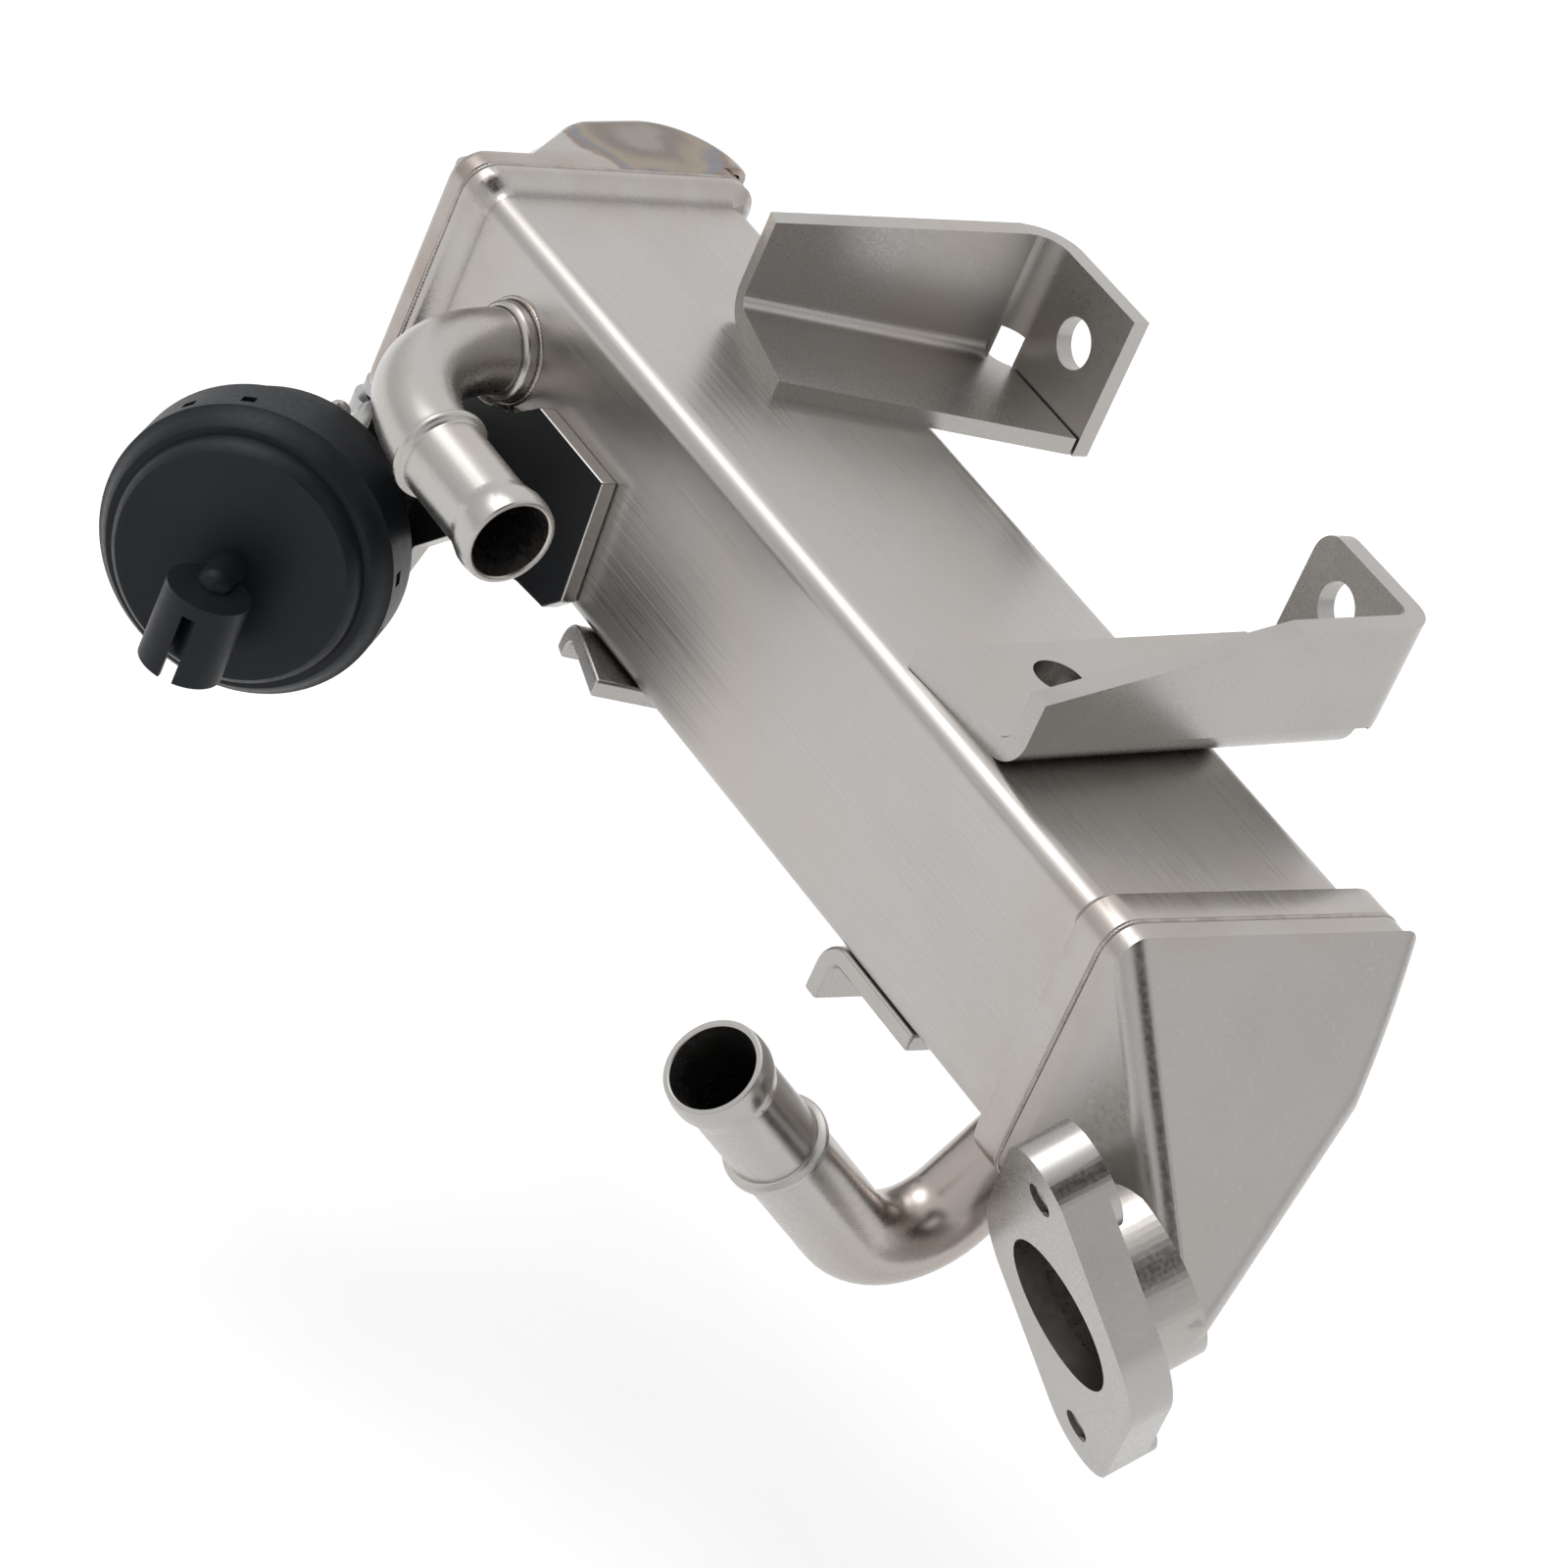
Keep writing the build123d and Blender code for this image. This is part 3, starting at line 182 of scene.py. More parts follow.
def brushed_tube():
    """Long brush lines along X over soft clouds, heat-tinted at both ends, with painted shade beside the
    bracket.
    """
    f = Finish("brushed_tube")
    tone = (0.425, 0.408, 0.392)
    weld_tint = (0.40, 0.350, 0.318)
    painted_shade_tone = (0.135, 0.128, 0.120)
    painted_shade_centre = (-0.190, 0.0093, 0.010)
    painted_shade_reach = (0.034, 0.020, 0.034)
    lines = f.grain((16, 1500, 1500), detail=4.0, rough=0.7)
    wide = f.grain((9, 330, 330), detail=2.0)
    cloud = f.grain((16, 24, 24))
    colour = clouded(f, tone, cloud, 0.7)
    colour = f.mix(f.ramp(lines, 0.35, 0.68, 0.0, 0.20), colour, times(tone, 1.25))
    colour = f.mix(f.ramp(lines, 0.40, 0.24, 0.0, 0.30), colour, times(tone, 0.62))
    inlet_end = f.ramp(f.along("X"), -0.068, -0.044)
    outlet_end = f.ramp(f.along("X"), -0.262, -0.283)
    ends = f.maths("MAXIMUM", inlet_end, outlet_end)
    heat = f.maths("MULTIPLY", ends, f.ramp(f.grain((60, 60, 60)), 0.35, 0.65, 0.15, 0.75))
    colour = f.mix(heat, colour, weld_tint)
    # Painted shade: a streaky dark patch beside the actuator bracket, standing for the dark plate's
    # reflection.
    painted_shade = f.maths("ADD", f.off(painted_shade_centre, painted_shade_reach), f.ramp(lines, 0.3, 0.7, -0.10, 0.10))
    colour = f.mix(f.ramp(painted_shade, 1.15, 0.10, 0.0, 0.72), colour, painted_shade_tone)
    streaks = f.ramp(lines, 0.25, 0.75, 0.25, 0.36)
    rough = f.maths("ADD", streaks, f.ramp(cloud, 0.3, 0.7, -0.02, 0.03))
    normal = f.relief(wide, 0.00012, 0.16, f.relief(lines, 0.00010, 0.30))
    return f.done(colour, rough, normal)


sharp_edge = math.radians(32.0)
flat_joint = math.radians(0.6)
same_point = 2e-6


def skin(node, look, edge=0.0, turns=2):
    """The node's own form with its sharp edges rounded, standing in for it.

    The copy is merged and its flat triangles are joined. Its edges get a round of the
    radius edge in so many turns, and the wide faces keep their own flat shading.
    """
    mesh = frame["nodes"][node].data.copy()
    shape = bmesh.new()
    shape.from_mesh(mesh)
    bmesh.ops.remove_doubles(shape, verts=shape.verts, dist=same_point)
    bmesh.ops.dissolve_limit(shape, angle_limit=flat_joint, verts=shape.verts, edges=shape.edges)
    for face in shape.faces:
        face.smooth = True
        face.material_index = 0
    shape.to_mesh(mesh)
    shape.free()
    mesh.materials.clear()
    mesh.materials.append(look)
    mesh.set_sharp_from_angle(angle=sharp_edge)
    piece = bpy.data.objects.new(node + "_skin", mesh)
    bpy.context.scene.collection.objects.link(piece)
    if edge:
        bevel = piece.modifiers.new("edges", "BEVEL")
        bevel.width = edge
        bevel.segments = turns
        bevel.limit_method = "ANGLE"
        bevel.angle_limit = sharp_edge
        bevel.use_clamp_overlap = True
    normals = piece.modifiers.new("flat_faces", "WEIGHTED_NORMAL")
    normals.keep_sharp = True
    record = frame["record"]
    body = next(b for b, nodes in record["behaviour"]["bodies"].items() if node in nodes)
    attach(piece, body)
    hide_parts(node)
    return piece


skin("shell_tube", brushed_tube())


# Seam welds. Fine beads in the groove where each tank's rim meets the core, plasma welded
# in the same stainless, with close ripples and browned sides.
def weld_metal():
    """Fine pores over patches of brown and violet heat tint."""
    f = Finish("weld_metal")
    tone = (0.40, 0.375, 0.35)
    brown = (0.31, 0.255, 0.225)
    violet = (0.34, 0.29, 0.33)
    patches = f.grain((260, 260, 260), detail=2.0)
    colour = f.mix(f.ramp(patches, 0.42, 0.72, 0.0, 0.8), tone, brown)
    colour = f.mix(f.ramp(f.grain((90, 90, 90)), 0.55, 0.75, 0.0, 0.6), colour, violet)
    pores = f.grain((2600, 2600, 2600))
    return f.done(colour, f.ramp(pores, 0.3, 0.7, 0.26, 0.40), f.relief(pores, 0.00006, 0.5))


def grid_mesh(name, points, closed):
    """A mesh of quads over a grid of points.

    The quad (u, v) joins the points (u, v), (u + 1, v), (u + 1, v + 1) and (u, v + 1).
    The columns always close into a ring, and the rows do where closed is set.
    """
    rows, columns = points.shape[:2]
    index = np.arange(rows * columns).reshape(rows, columns)
    u, v = np.meshgrid(np.arange(rows if closed else rows - 1), np.arange(columns), indexing="ij")
    next_u = (u + 1) % rows
    next_v = (v + 1) % columns
    quads = np.stack([index[u, v], index[next_u, v], index[next_u, next_v], index[u, next_v]], axis=-1)
    mesh = bpy.data.meshes.new(name)
    mesh.from_pydata(points.reshape(-1, 3).tolist(), [], quads.reshape(-1, 4).tolist())
    shape = bmesh.new()
    shape.from_mesh(mesh)
    bmesh.ops.recalc_face_normals(shape, faces=shape.faces)
    for face in shape.faces:
        face.smooth = True
    shape.to_mesh(mesh)
    shape.free()
    piece = bpy.data.objects.new(name, mesh)
    bpy.context.scene.collection.objects.link(piece)
    return piece


def fixed(piece, look):
    """A look and a slot for a new piece, which stays with the cooler's own body."""
    piece.data.materials.append(look)
    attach(piece, "cooler")


def bead(name, path, across, up, radius, ripple):
    """A weld bead: a round section carried along a closed path.

    The section at each point is path + r (cos a across + sin a up). Its radius r
    swells by a seventh once per ripple length, like the set pool of each pulse.
    """
    sides = 10
    step = np.linalg.norm(np.roll(path, -1, axis=0) - path, axis=1)
    run = np.concatenate([[0.0], np.cumsum(step)[:-1]])
    pulse = 0.14 * np.abs(np.sin(np.pi * run / ripple))
    drift = 0.05 * np.sin(run / ripple * 0.37)
    swell = radius * (0.88 + pulse + drift)
    angle = np.linspace(0, 2 * np.pi, sides, endpoint=False)
    points = (
        path[:, None, :]
        + swell[:, None, None] * np.cos(angle)[None, :, None] * across[:, None, :]
        + swell[:, None, None] * np.sin(angle)[None, :, None] * up[:, None, :]
    )
    fixed(grid_mesh(name, points, closed=True), weld_look)


def round_frame(x, half_y, half_z, corner, spacing):
    """Points round a rectangle with arc corners, square to X, and their outward normals.

    Each corner's arc is its centre plus corner (cos turn, sin turn), and the points are
    set at an even spacing along the whole outline.
    """
    per_corner = 12
    quarter = np.linspace(0, np.pi / 2, per_corner)
    turns = np.concatenate([quarter + k * np.pi / 2 for k in range(4)])
    sign_y = np.repeat([1, -1, -1, 1], per_corner)
    sign_z = np.repeat([1, 1, -1, -1], per_corner)
    y = sign_y * (half_y - corner) + corner * np.cos(turns)
    z = sign_z * (half_z - corner) + corner * np.sin(turns)
    outline = np.stack([y, z, turns], axis=1)
    outline = np.vstack([outline, [y[0], z[0], turns[0] + 2 * np.pi]])
    run = np.concatenate([[0.0], np.cumsum(np.hypot(np.diff(outline[:, 0]), np.diff(outline[:, 1])))])
    at = np.arange(0, run[-1], spacing)
    y, z, turn = (np.interp(at, run, outline[:, k]) for k in range(3))
    path = np.stack([np.full_like(y, x), y + core_y, z + core_z], axis=1)
    outward = np.stack([np.zeros_like(y), np.cos(turn), np.sin(turn)], axis=1)
    return path, outward


core_y = 0.0421
core_z = 0.0323
band_half_width = 0.03645
band_half_height = 0.03055
groove_depth = 0.00032
groove_corner = 0.0068
seam_places = {"inlet": -0.0360, "outlet": -0.2880}
seam_radius = 0.00056
seam_ripple = 0.0009

weld_look = weld_metal()
for end, seam_x in seam_places.items():
    seam, outward = round_frame(
        seam_x, band_half_width - groove_depth, band_half_height - groove_depth, groove_corner, 0.00024
    )
    lengthwise = np.tile([1.0, 0.0, 0.0], (len(seam), 1))
    bead(f"seam_weld_{end}", seam, outward, lengthwise, seam_radius, seam_ripple)


# Inlet tank. A wedge pressed from 1.5 mm sheet in one hit, with the gas neck drawn out of
# its side. Its skin has the pebble grain of a matte-rolled sheet, and its rim is tinted
# by the seam weld.
def pressed_sheet():
    """Pebble grain with light tops, a heat tint along the rim and rosy clouds."""
    f = Finish("pressed_tank")
    tone = (0.405, 0.388, 0.372)
    rim_tint = (0.385, 0.340, 0.312)
    rosy = (0.43, 0.375, 0.345)
    pebble = f.grain((1050, 1050, 1050), detail=2.0, rough=0.4)
    cloud = f.grain((18, 18, 18), at=(3.1, 0.7, 1.9))
    colour = clouded(f, tone, cloud, 0.6)
    colour = f.mix(f.ramp(pebble, 0.56, 0.74, 0.0, 0.35), colour, times(tone, 1.25))
    rim = f.ramp(f.along("X"), -0.0265, -0.0335)
    heat = f.maths("MULTIPLY", rim, f.ramp(f.grain((55, 55, 55)), 0.35, 0.62, 0.25, 0.85))
    colour = f.mix(heat, colour, rim_tint)
    blush = f.ramp(f.grain((11, 11, 11), at=(0.4, 2.2, 0.1)), 0.48, 0.68, 0.0, 0.45)
    colour = f.mix(blush, colour, rosy)
    rough = f.polish(pebble, 0.27, 0.34, cloud, -0.02, 0.03)
    return f.done(colour, rough, f.relief(pebble, 0.00008, 0.22))


skin("inlet_tank", pressed_sheet(), 0.0003)


# Gas flanges. The inlet's is a thick oval plate milled from stainless bar, with its bore
# and two tapped M8 holes. The outlet's is a thinner one below the far tank.
def milled_flange():
    """A fine satin with soft clouds and long, light scuffs."""
    f = Finish("machined_flange")
    tone = (0.395, 0.383, 0.368)
    scuffed = (0.52, 0.50, 0.48)
    fine = f.grain((900, 900, 900), detail=2.0)
    cloud = f.grain((24, 24, 24), at=(1.3, 4.0, 2.6))
    colour = clouded(f, tone, cloud, 0.6)
    scuff = f.grain((260, 60, 260), detail=4.0, rough=0.7)
    colour = f.mix(f.ramp(scuff, 0.62, 0.80, 0.0, 0.35), colour, scuffed)
    rough = f.polish(fine, 0.26, 0.32, cloud, -0.03, 0.04)
    return f.done(colour, rough, f.relief(fine, 0.00002, 0.02))


flange_look = milled_flange()
skin("inlet_flange", flange_look, 0.0012, turns=3)
skin("outlet_flange", flange_look, 0.0008)

inlet_tilt = math.radians(33.25)
inlet_axis = np.array([0.0, -math.cos(inlet_tilt), -math.sin(inlet_tilt)])
inlet_long = np.array([0.0, math.sin(inlet_tilt), -math.cos(inlet_tilt)])
inlet_wide = np.array([1.0, 0.0, 0.0])
hole_distance = 0.034
hole_radius = 0.0034
thread_length = 0.0078
thread_pitch = 0.00125
thread_depth = 0.00042
thread_start = 0.0006
thread_sunk = 0.00002
thread_flank = 0.46
thread_runout = 1.2


def thread(name, mouth):
    """A tapped thread: a three-sided ridge carried along a helix inside a hole.

    After turn a the section has moved pitch a / (2 pi) into the hole. Its two feet lie
    just under the hole's wall, nearly half a pitch to either side, and its crest stands
    in from the wall by the thread's depth, which fades out at both ends.
    """
    steps_per_turn = 30
    turns = thread_length / thread_pitch
    turn = np.linspace(0, 2 * np.pi * turns, int(turns * steps_per_turn))
    fade = np.clip(np.minimum(turn, turn[-1] - turn) / thread_runout, 0.0, 1.0)
    inward = turn / (2 * np.pi) * thread_pitch + thread_start
    middle = mouth[None, :] - inlet_axis[None, :] * inward[:, None]
    radial = np.cos(turn)[:, None] * inlet_long[None, :] + np.sin(turn)[:, None] * inlet_wide[None, :]
    foot = middle + radial * (hole_radius + thread_sunk)
    crest = middle + radial * (hole_radius - thread_depth * fade)[:, None]
    flank = inlet_axis * thread_pitch * thread_flank
    piece = grid_mesh(name, np.stack([foot + flank, crest, foot - flank], axis=1), closed=False)
    close_ends(piece)
    fixed(piece, flange_look)


def close_ends(piece):
    """Caps on the open ends of a swept section."""
    shape = bmesh.new()
    shape.from_mesh(piece.data)
    bmesh.ops.holes_fill(shape, edges=[edge for edge in shape.edges if edge.is_boundary], sides=0)
    bmesh.ops.recalc_face_normals(shape, faces=shape.faces)
    shape.to_mesh(piece.data)
    shape.free()


thread("flange_thread_high", -inlet_long * hole_distance)
thread("flange_thread_low", inlet_long * hole_distance)


# Neck weld. The flange is welded to the tank's drawn neck from behind, all the way round,
# with a wider bead than the seams have.
def ring_path(centre, axis, start, radius, spacing):
    """Points round a circle, with their outward and axial directions.

    The point at turn a is centre + radius (cos a start + sin a side), with side square
    to both the axis and the start.
    """
    axis = np.asarray(axis, float)
    start = np.asarray(start, float)
    side = np.cross(axis, start)
    count = int(2 * np.pi * radius / spacing)
    turn = np.linspace(0, 2 * np.pi, count, endpoint=False)
    outward = np.cos(turn)[:, None] * start[None, :] + np.sin(turn)[:, None] * side[None, :]
    return np.asarray(centre)[None, :] + outward * radius, outward, np.tile(axis, (count, 1))


neck_depth = 0.0092
neck_radius = 0.0187
neck_bead = 0.0008
neck_ripple = 0.0011
neck_path, neck_out, neck_axial = ring_path(
    -inlet_axis * neck_depth, inlet_axis, inlet_long, neck_radius, 0.00028
)
bead("neck_weld", neck_path, neck_out, neck_axial, neck_bead, neck_ripple)


# Outlet tank. A deep cap drawn from the same sheet, with a drum for the bypass shaft and
# a side chamber. Drawing left it glossier, and welding coloured its dome in rings of
# brown, blue and straw.
def drawn_cap():
    """Drawing lines, a browned rim, and rings of tint by the distance from the dome's top."""
    f = Finish("pressed_cap")
    tone = (0.400, 0.380, 0.362)
    drawn_brown = (0.315, 0.265, 0.235)
    rim_tint = (0.350, 0.298, 0.268)
    dome_centre = (-0.302, 0.058, 0.063)
    dome_reach = (0.020, 0.020, 0.012)
    rings = (
        (1.04, 0.92, 1.0, (0.22, 0.165, 0.13)),
        (0.92, 0.84, 0.8, (0.18, 0.19, 0.22)),
        (0.82, 0.72, 0.8, (0.29, 0.235, 0.17)),
        (0.66, 0.40, 1.0, (0.185, 0.155, 0.135)),
        (0.35, 0.10, 0.7, (0.29, 0.265, 0.25)),
    )
    fine = f.grain((1300, 1300, 1300), detail=2.0)
    cloud = f.grain((30, 30, 30), at=(0.2, 1.2, 5.0))
    drawn = f.grain((700, 60, 60), detail=3.0)
    colour = clouded(f, tone, cloud, 0.7)
    colour = f.mix(f.ramp(drawn, 0.55, 0.72, 0.0, 0.35), colour, drawn_brown)
    rim = f.ramp(f.along("X"), -0.2965, -0.2905)
    heat = f.maths("MULTIPLY", rim, f.ramp(f.grain((80, 80, 80)), 0.35, 0.60, 0.35, 0.95))
    colour = f.mix(heat, colour, rim_tint)
    wander = f.ramp(f.grain((75, 75, 75)), 0.3, 0.7, -0.14, 0.14)
    distance = f.maths("ADD", f.off(dome_centre, dome_reach), wander)
    for outer, inner, share, tint in rings:
        colour = f.mix(f.ramp(distance, outer, inner, 0.0, share), colour, tint)
    rough = f.polish(fine, 0.22, 0.28, cloud, -0.03, 0.03)
    return f.done(colour, rough, f.relief(fine, 0.00003, 0.04))


skin("outlet_tank", drawn_cap(), 0.0004)


# Inner parts. Header plates, flat gas tubes, the bypass tube and its flap are brazed
# stainless, dull and slightly straw-coloured from the furnace.
def brazed_steel():
    """Straw stains over a dull grain."""
    f = Finish("inner_steel")
    fine = f.grain((700, 700, 700))
    stain = f.grain((120, 120, 120), detail=4.0)
    colour = f.mix(f.ramp(stain, 0.35, 0.70), (0.33, 0.315, 0.295), (0.27, 0.225, 0.185))
    return f.done(colour, f.ramp(fine, 0.25, 0.75, 0.34, 0.46), f.relief(fine, 0.00008, 0.3))


def dress(nodes, look):
    """A look for nodes whose own form is right as it is."""
    for node in nodes:
        materials = frame["nodes"][node].data.materials
        materials.clear()
        materials.append(look)


inner_nodes = [
    "header_plate_inlet",
    "header_plate_outlet",
    "gas_tubes",
    "bypass_tube",
    "support_baffle",
    "shaft_bush",
    "bypass_flap",
    "flap_shaft",
]
dress(inner_nodes, brazed_steel())


# Coolant pipes. 18 mm stainless tube bent on a mandrel, with a stop ring pressed on and a
# bead rolled at the mouth, then tumbled to a smooth satin. The upper one is welded into
# the core's side.
def satin_pipe():
    """A smooth satin with soft clouds, pinkish near the lower pipe's root."""
    f = Finish("satin_pipe")
    tone = (0.435, 0.420, 0.403)
    root_tint = (0.40, 0.335, 0.30)
    lower_root = (-0.0458, 0.0221, 0.0043)
    root_reach = (0.05, 0.05, 0.05)
    fine = f.grain((420, 420, 1100), detail=2.0)
    cloud = f.grain((30, 30, 30), at=(2.2, 0.3, 0.9))
    colour = clouded(f, tone, cloud, 0.6)
    colour = f.mix(f.ramp(f.off(lower_root, root_reach), 1.25, 0.45, 0.0, 0.6), colour, root_tint)
    rough = f.polish(fine, 0.25, 0.28, cloud, -0.02, 0.02)
    return f.done(colour, rough, f.relief(fine, 0.00002, 0.03))


pipe_look = satin_pipe()
for node in ("upper_coolant_pipe", "lower_coolant_pipe", "upper_collar"):
    skin(node, pipe_look, 0.0004)

upper_root = (-0.2577, 0.00925, 0.0368)
pipe_weld_radius = 0.0109
pipe_bead = 0.00055
pipe_ripple = 0.0009
pipe_path, pipe_out, pipe_axial = ring_path(upper_root, (0, -1, 0), (1, 0, 0), pipe_weld_radius, 0.00026)
bead("upper_pipe_weld", pipe_path, pipe_out, pipe_axial, pipe_bead, pipe_ripple)


# Brackets. 4 mm stainless sheet, cut by laser, folded and tacked along the core: two long
# ones on the upper face and two short ones below. All keep the mill's satin.
def bracket_face():
    """Rolling lines along X over soft clouds."""
    f = Finish("bracket_steel")
    tone = (0.405, 0.390, 0.374)
    fine = f.grain((1500, 1500, 1500), detail=2.0)
    rolled = f.grain((60, 900, 900), detail=3.0)
    cloud = f.grain((26, 26, 26), at=(5.0, 3.3, 0.6))
    colour = clouded(f, tone, cloud, 0.7)
    colour = f.mix(f.ramp(rolled, 0.58, 0.75, 0.0, 0.25), colour, times(tone, 0.8))
    rough = f.polish(fine, 0.26, 0.33, cloud, -0.03, 0.04)
    return f.done(colour, rough, f.relief(fine, 0.00003, 0.04))


bracket_look = bracket_face()
for node in ("bracket_a", "bracket_b", "bracket_c", "bracket_d"):
    skin(node, bracket_look, 0.0006)


# Actuator bracket. The same folded sheet, welded flat on the core's near side. Its large near
# faces are painted black as a painted reflection of the dark actuator, and its cut edges stay bright.
def black_coat_and_reflection():
    """A thin black coat with a faint orange peel and dust; on the actuator bracket's near face it is a
    painted reflection.
    """
    f = Finish("black_coat_and_reflection")
    peel = f.grain((1300, 1300, 1300), detail=2.0)
    dust = f.grain((45, 45, 45), detail=4.0)
    colour = f.mix(f.ramp(dust, 0.4, 0.75), (0.0070, 0.0076, 0.0086), (0.0110, 0.0118, 0.0130))
    rough = f.ramp(peel, 0.2, 0.8, 0.34, 0.42)
    return f.done(colour, rough, f.relief(peel, 0.00004, 0.10), metal=0.0, shine=0.18)


black_coat_and_reflection_look = black_coat_and_reflection()
painted_reflection_slot = 1
painted_reflection_area = 0.00004
plate = skin("actuator_bracket", bracket_look, 0.0006)
plate.data.materials.append(black_coat_and_reflection_look)
# Painted reflection: the bracket's large near-side faces get the black coat.
for face in plate.data.polygons:
    if face.normal.y < -0.9 and face.area > painted_reflection_area:
        face.material_index = painted_reflection_slot


# Actuator. A deep-drawn can with its cover clamped on by six snap windows, both in black:
# the can is coated steel and the cover is glass-filled nylon with a port and a shroud.
def nylon_cover():
    """A fine moulded grain with faint flow marks, a little blue."""
    f = Finish("black_nylon")
    fine = f.grain((900, 900, 900), detail=3.0)
    flow = f.grain((26, 26, 26), detail=3.0, at=(1.0, 0.2, 0.3))
    colour = f.mix(f.ramp(flow, 0.35, 0.70), (0.0066, 0.0086, 0.0116), (0.0108, 0.0134, 0.0172))
    rough = f.polish(fine, 0.40, 0.47, flow, -0.02, 0.04)
    return f.done(colour, rough, f.relief(fine, 0.00004, 0.12), metal=0.0, shine=0.20)


skin("actuator_cover", nylon_cover(), 0.0006)
skin("actuator_can", black_coat_and_reflection_look, 0.0004)


# Diaphragm. A moulded rubber disc, clamped by its rim between the can and the cover and
# by its middle to the piston plate.
def moulded_rubber():
    """A soft matte grain."""
    f = Finish("black_rubber")
    fine = f.grain((900, 900, 900))
    colour = f.mix(f.ramp(fine, 0.3, 0.7), (0.016, 0.016, 0.016), (0.026, 0.026, 0.026))
    rough = f.ramp(fine, 0.2, 0.8, 0.6, 0.8)
    return f.done(colour, rough, f.relief(fine, 0.0001, 0.3), metal=0.0, shine=0.3)


dress(["diaphragm"], moulded_rubber())


# Linkage and fixings. The rod, its eye, the lever, the clip, the studs and their nuts are
# turned or stamped steel with a clear zinc plating.
def zinc_plate():
    """A clear plating with a faint bluish bloom."""
    f = Finish("zinc_steel")
    fine = f.grain((600, 600, 600))
    bloom = f.grain((90, 90, 90), detail=4.0)
    colour = f.mix(f.ramp(bloom, 0.4, 0.7), (0.40, 0.40, 0.39), (0.35, 0.36, 0.37))
    return f.done(colour, f.ramp(fine, 0.25, 0.75, 0.26, 0.36), f.relief(fine, 0.00005, 0.2))


zinc_look = zinc_plate()
dress(["actuator_studs", "piston_plate", "actuator_rod", "retaining_clip"], zinc_look)
for node in ("stud_nuts", "flap_lever", "rod_eye"):
    skin(node, zinc_look, 0.0003)


# Floor. A pale sheet well below the part. It shows as white to the camera and in the
# metal, and the part's soft shadow stays on it.
def pale_sheet():
    """A pale matte surface with a glow that only direct, mirrored and clear views add."""
    f = Finish("floor")
    glow_strength = 0.22
    speck = f.grain((40, 40, 40))
    colour = f.mix(speck, (0.84, 0.84, 0.84), (0.87, 0.87, 0.87))
    f.put(colour, f.surface.inputs["Base Color"])
    for key, value in (("Roughness", 0.9), ("Metallic", 0.0), ("Specular IOR Level", 0.0)):
        f.surface.inputs[key].default_value = value
    path = f.add("ShaderNodeLightPath")
    seen = f.maths("MAXIMUM", path.outputs["Is Camera Ray"], path.outputs["Is Glossy Ray"])
    seen = f.maths("MAXIMUM", seen, path.outputs["Is Transmission Ray"])
    glow = f.add("ShaderNodeEmission")
    f.put(f.maths("MULTIPLY", seen, glow_strength), glow.inputs["Strength"])
    both = f.add("ShaderNodeAddShader")
    f.put(f.surface.outputs["BSDF"], both.inputs[0])
    f.put(glow.outputs["Emission"], both.inputs[1])
    f.put(both.outputs["Shader"], f.tree.nodes["Material Output"].inputs["Surface"])
    return f.material


floor_half = 6
floor_drop = 0.12
floor_z = cad_bounds[0][2] - floor_drop
floor_corners = [(x * floor_half, y * floor_half, floor_z) for x, y in ((-1, -1), (1, -1), (1, 1), (-1, 1))]
floor_mesh = bpy.data.meshes.new("floor")
floor_mesh.from_pydata(floor_corners, [], [(0, 1, 2, 3)])
floor_mesh.materials.append(pale_sheet())
floor = bpy.data.objects.new("floor", floor_mesh)
bpy.context.scene.collection.objects.link(floor)


# Studio light. A soft white surround, darker towards the horizon, with a bright panel
# high on the left, a softer one behind, a dark flag on the right, and a soft key lamp.
world = bpy.data.worlds.new("surround")
bpy.context.scene.world = world
world.use_nodes = True
sky = world.node_tree
sky_direction = sky.nodes.new("ShaderNodeTexCoord").outputs["Generated"]


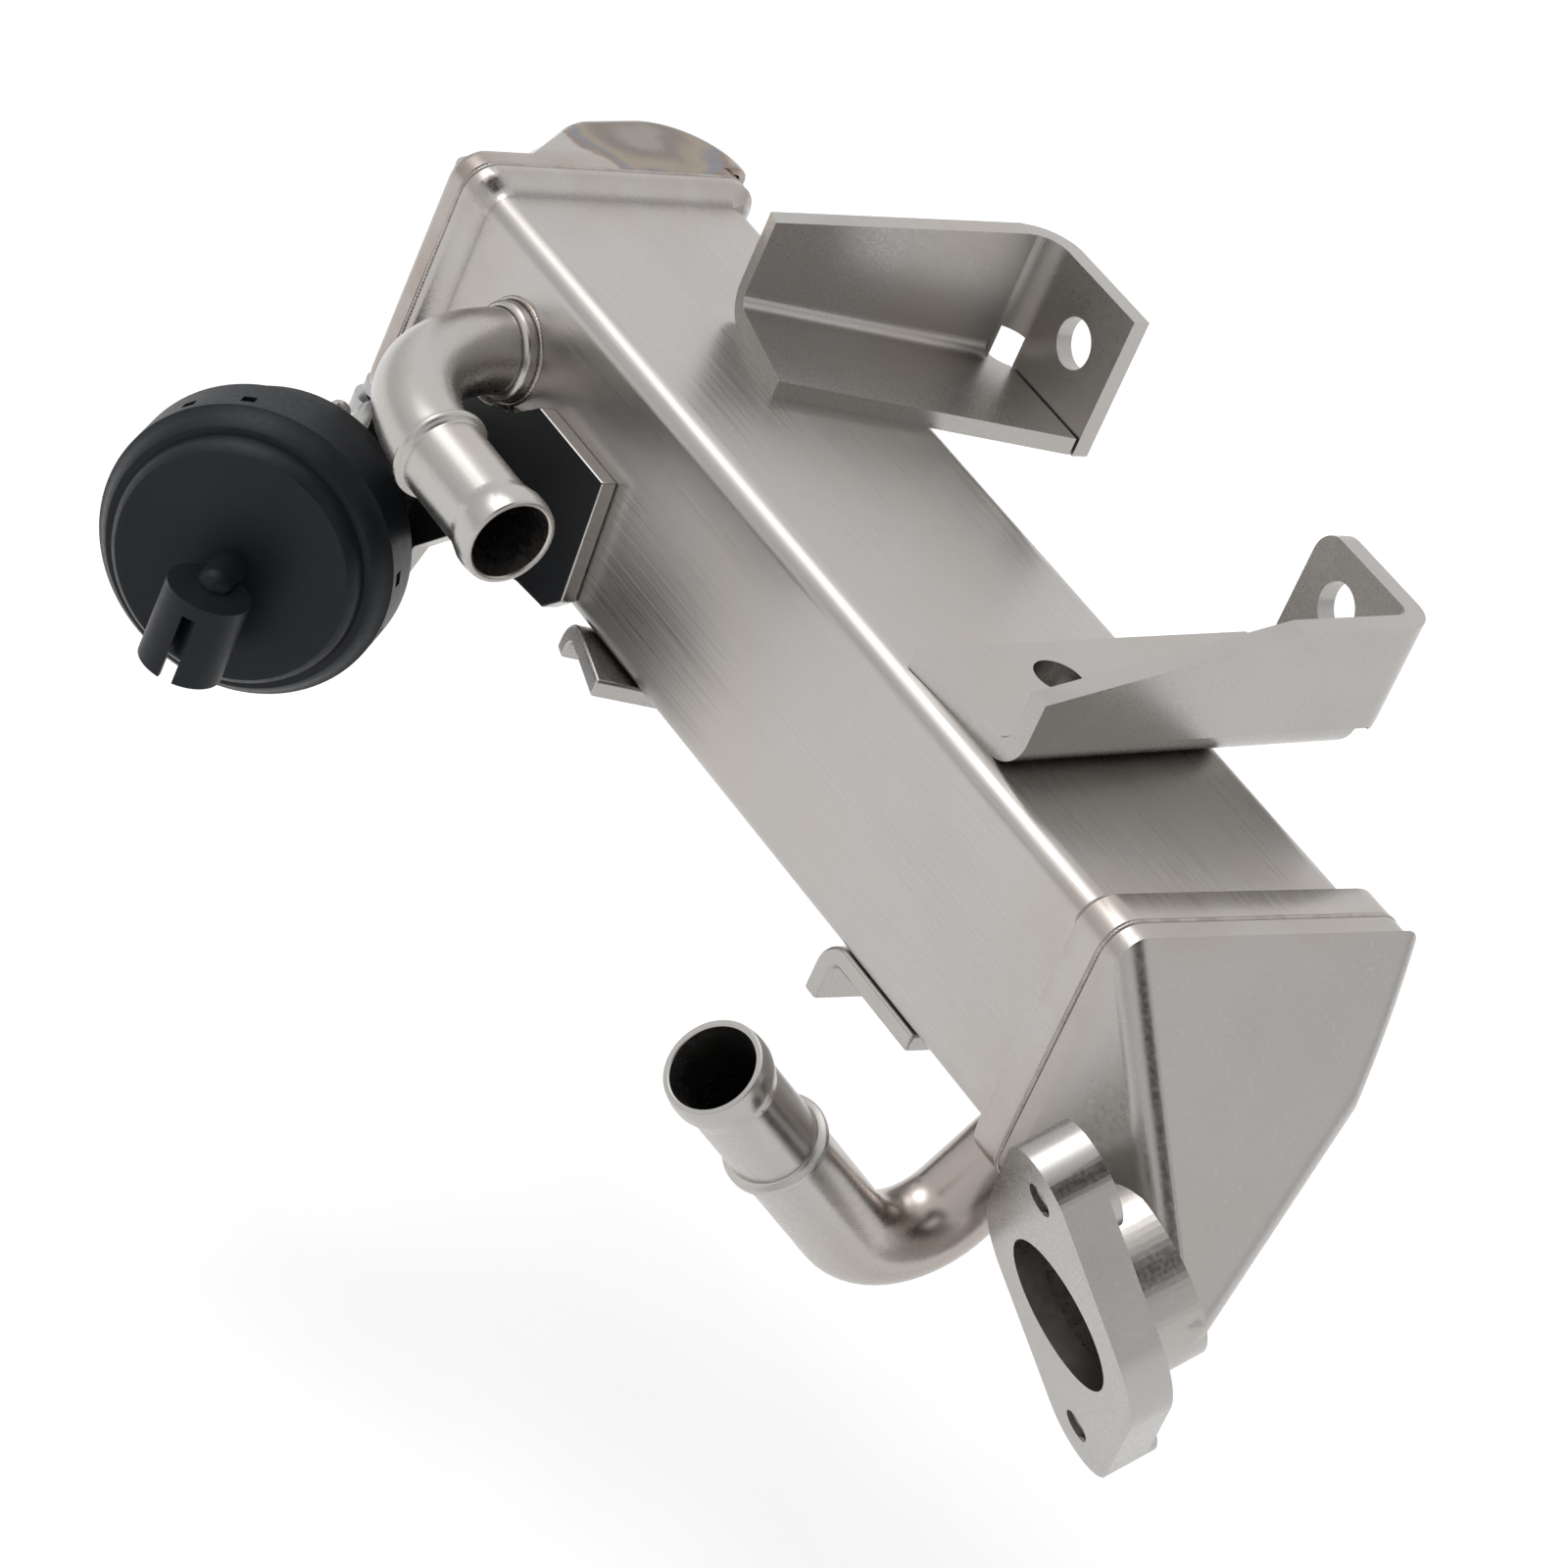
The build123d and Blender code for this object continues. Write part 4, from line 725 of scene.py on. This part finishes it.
def panel(behind, direction, inner, outer, brightness):
    """A round patch of the surround in front of what is behind it.

    It is full up to inner degrees off its direction and gone from outer degrees on.
    """
    dot = sky.nodes.new("ShaderNodeVectorMath")
    dot.operation = "DOT_PRODUCT"
    sky.links.new(sky_direction, dot.inputs[0])
    dot.inputs[1].default_value = Vector(direction).normalized()
    ramp = sky.nodes.new("ShaderNodeMapRange")
    ramp.interpolation_type = "SMOOTHSTEP"
    ramp.inputs["From Min"].default_value = math.cos(math.radians(outer))
    ramp.inputs["From Max"].default_value = math.cos(math.radians(inner))
    sky.links.new(dot.outputs["Value"], ramp.inputs["Value"])
    mix = sky.nodes.new("ShaderNodeMix")
    mix.data_type = "RGBA"
    sky.links.new(ramp.outputs["Result"], mix.inputs[0])
    if isinstance(behind, float):
        mix.inputs[6].default_value = (behind, behind, behind, 1)
    else:
        sky.links.new(behind, mix.inputs[6])
    mix.inputs[7].default_value = (brightness, brightness, brightness, 1)
    return mix.outputs[2]


horizon = 0.75
overhead = ((0, 0, 1), 50, 92, 1.0)
soft_panel = ((-0.63, 0.61, 0.48), 12, 38, 1.10)
bright_panel = ((-0.47, -0.27, 0.84), 9, 26, 2.6)
dark_flag = ((0.63, -0.20, 0.75), 10, 31, 0.04)
surround = horizon
for patch in (overhead, soft_panel, bright_panel, dark_flag):
    surround = panel(surround, *patch)
sky.links.new(surround, sky.nodes["Background"].inputs["Color"])

core_middle = Vector((-0.12, 0.0, 0.0))
lamp = bpy.data.lights.new("key", "AREA")
lamp.size = 0.7
lamp.energy = 5.0
key = bpy.data.objects.new("key", lamp)
bpy.context.scene.collection.objects.link(key)
key.location = (-1.06, -0.54, 1.70)
key.rotation_euler = (core_middle - key.location).to_track_quat("-Z", "Y").to_euler()


# Camera. It stands where the photograph was taken, with a long lens and a little roll.
# Its three directions were fitted to the core's edges.
camera_place = (0.70130, -0.80310, 0.66200)
camera_right = Vector((0.49074, 0.79133, 0.36465))
camera_down = Vector((0.60463, -0.00794, -0.79646))
camera_ahead = Vector((-0.62737, 0.61134, -0.48236))
lens = bpy.data.cameras.new("photo_camera")
lens.sensor_width = 36.0
lens.lens = 157.5
lens.clip_start = 0.05
lens.clip_end = 30.0
camera = bpy.data.objects.new("photo_camera", lens)
bpy.context.scene.collection.objects.link(camera)
turn = Matrix((camera_right, -camera_down, -camera_ahead)).transposed().to_4x4()
camera.matrix_world = Matrix.Translation(camera_place) @ turn
bpy.context.scene.camera = camera
bpy.context.scene.view_settings.view_transform = "Standard"
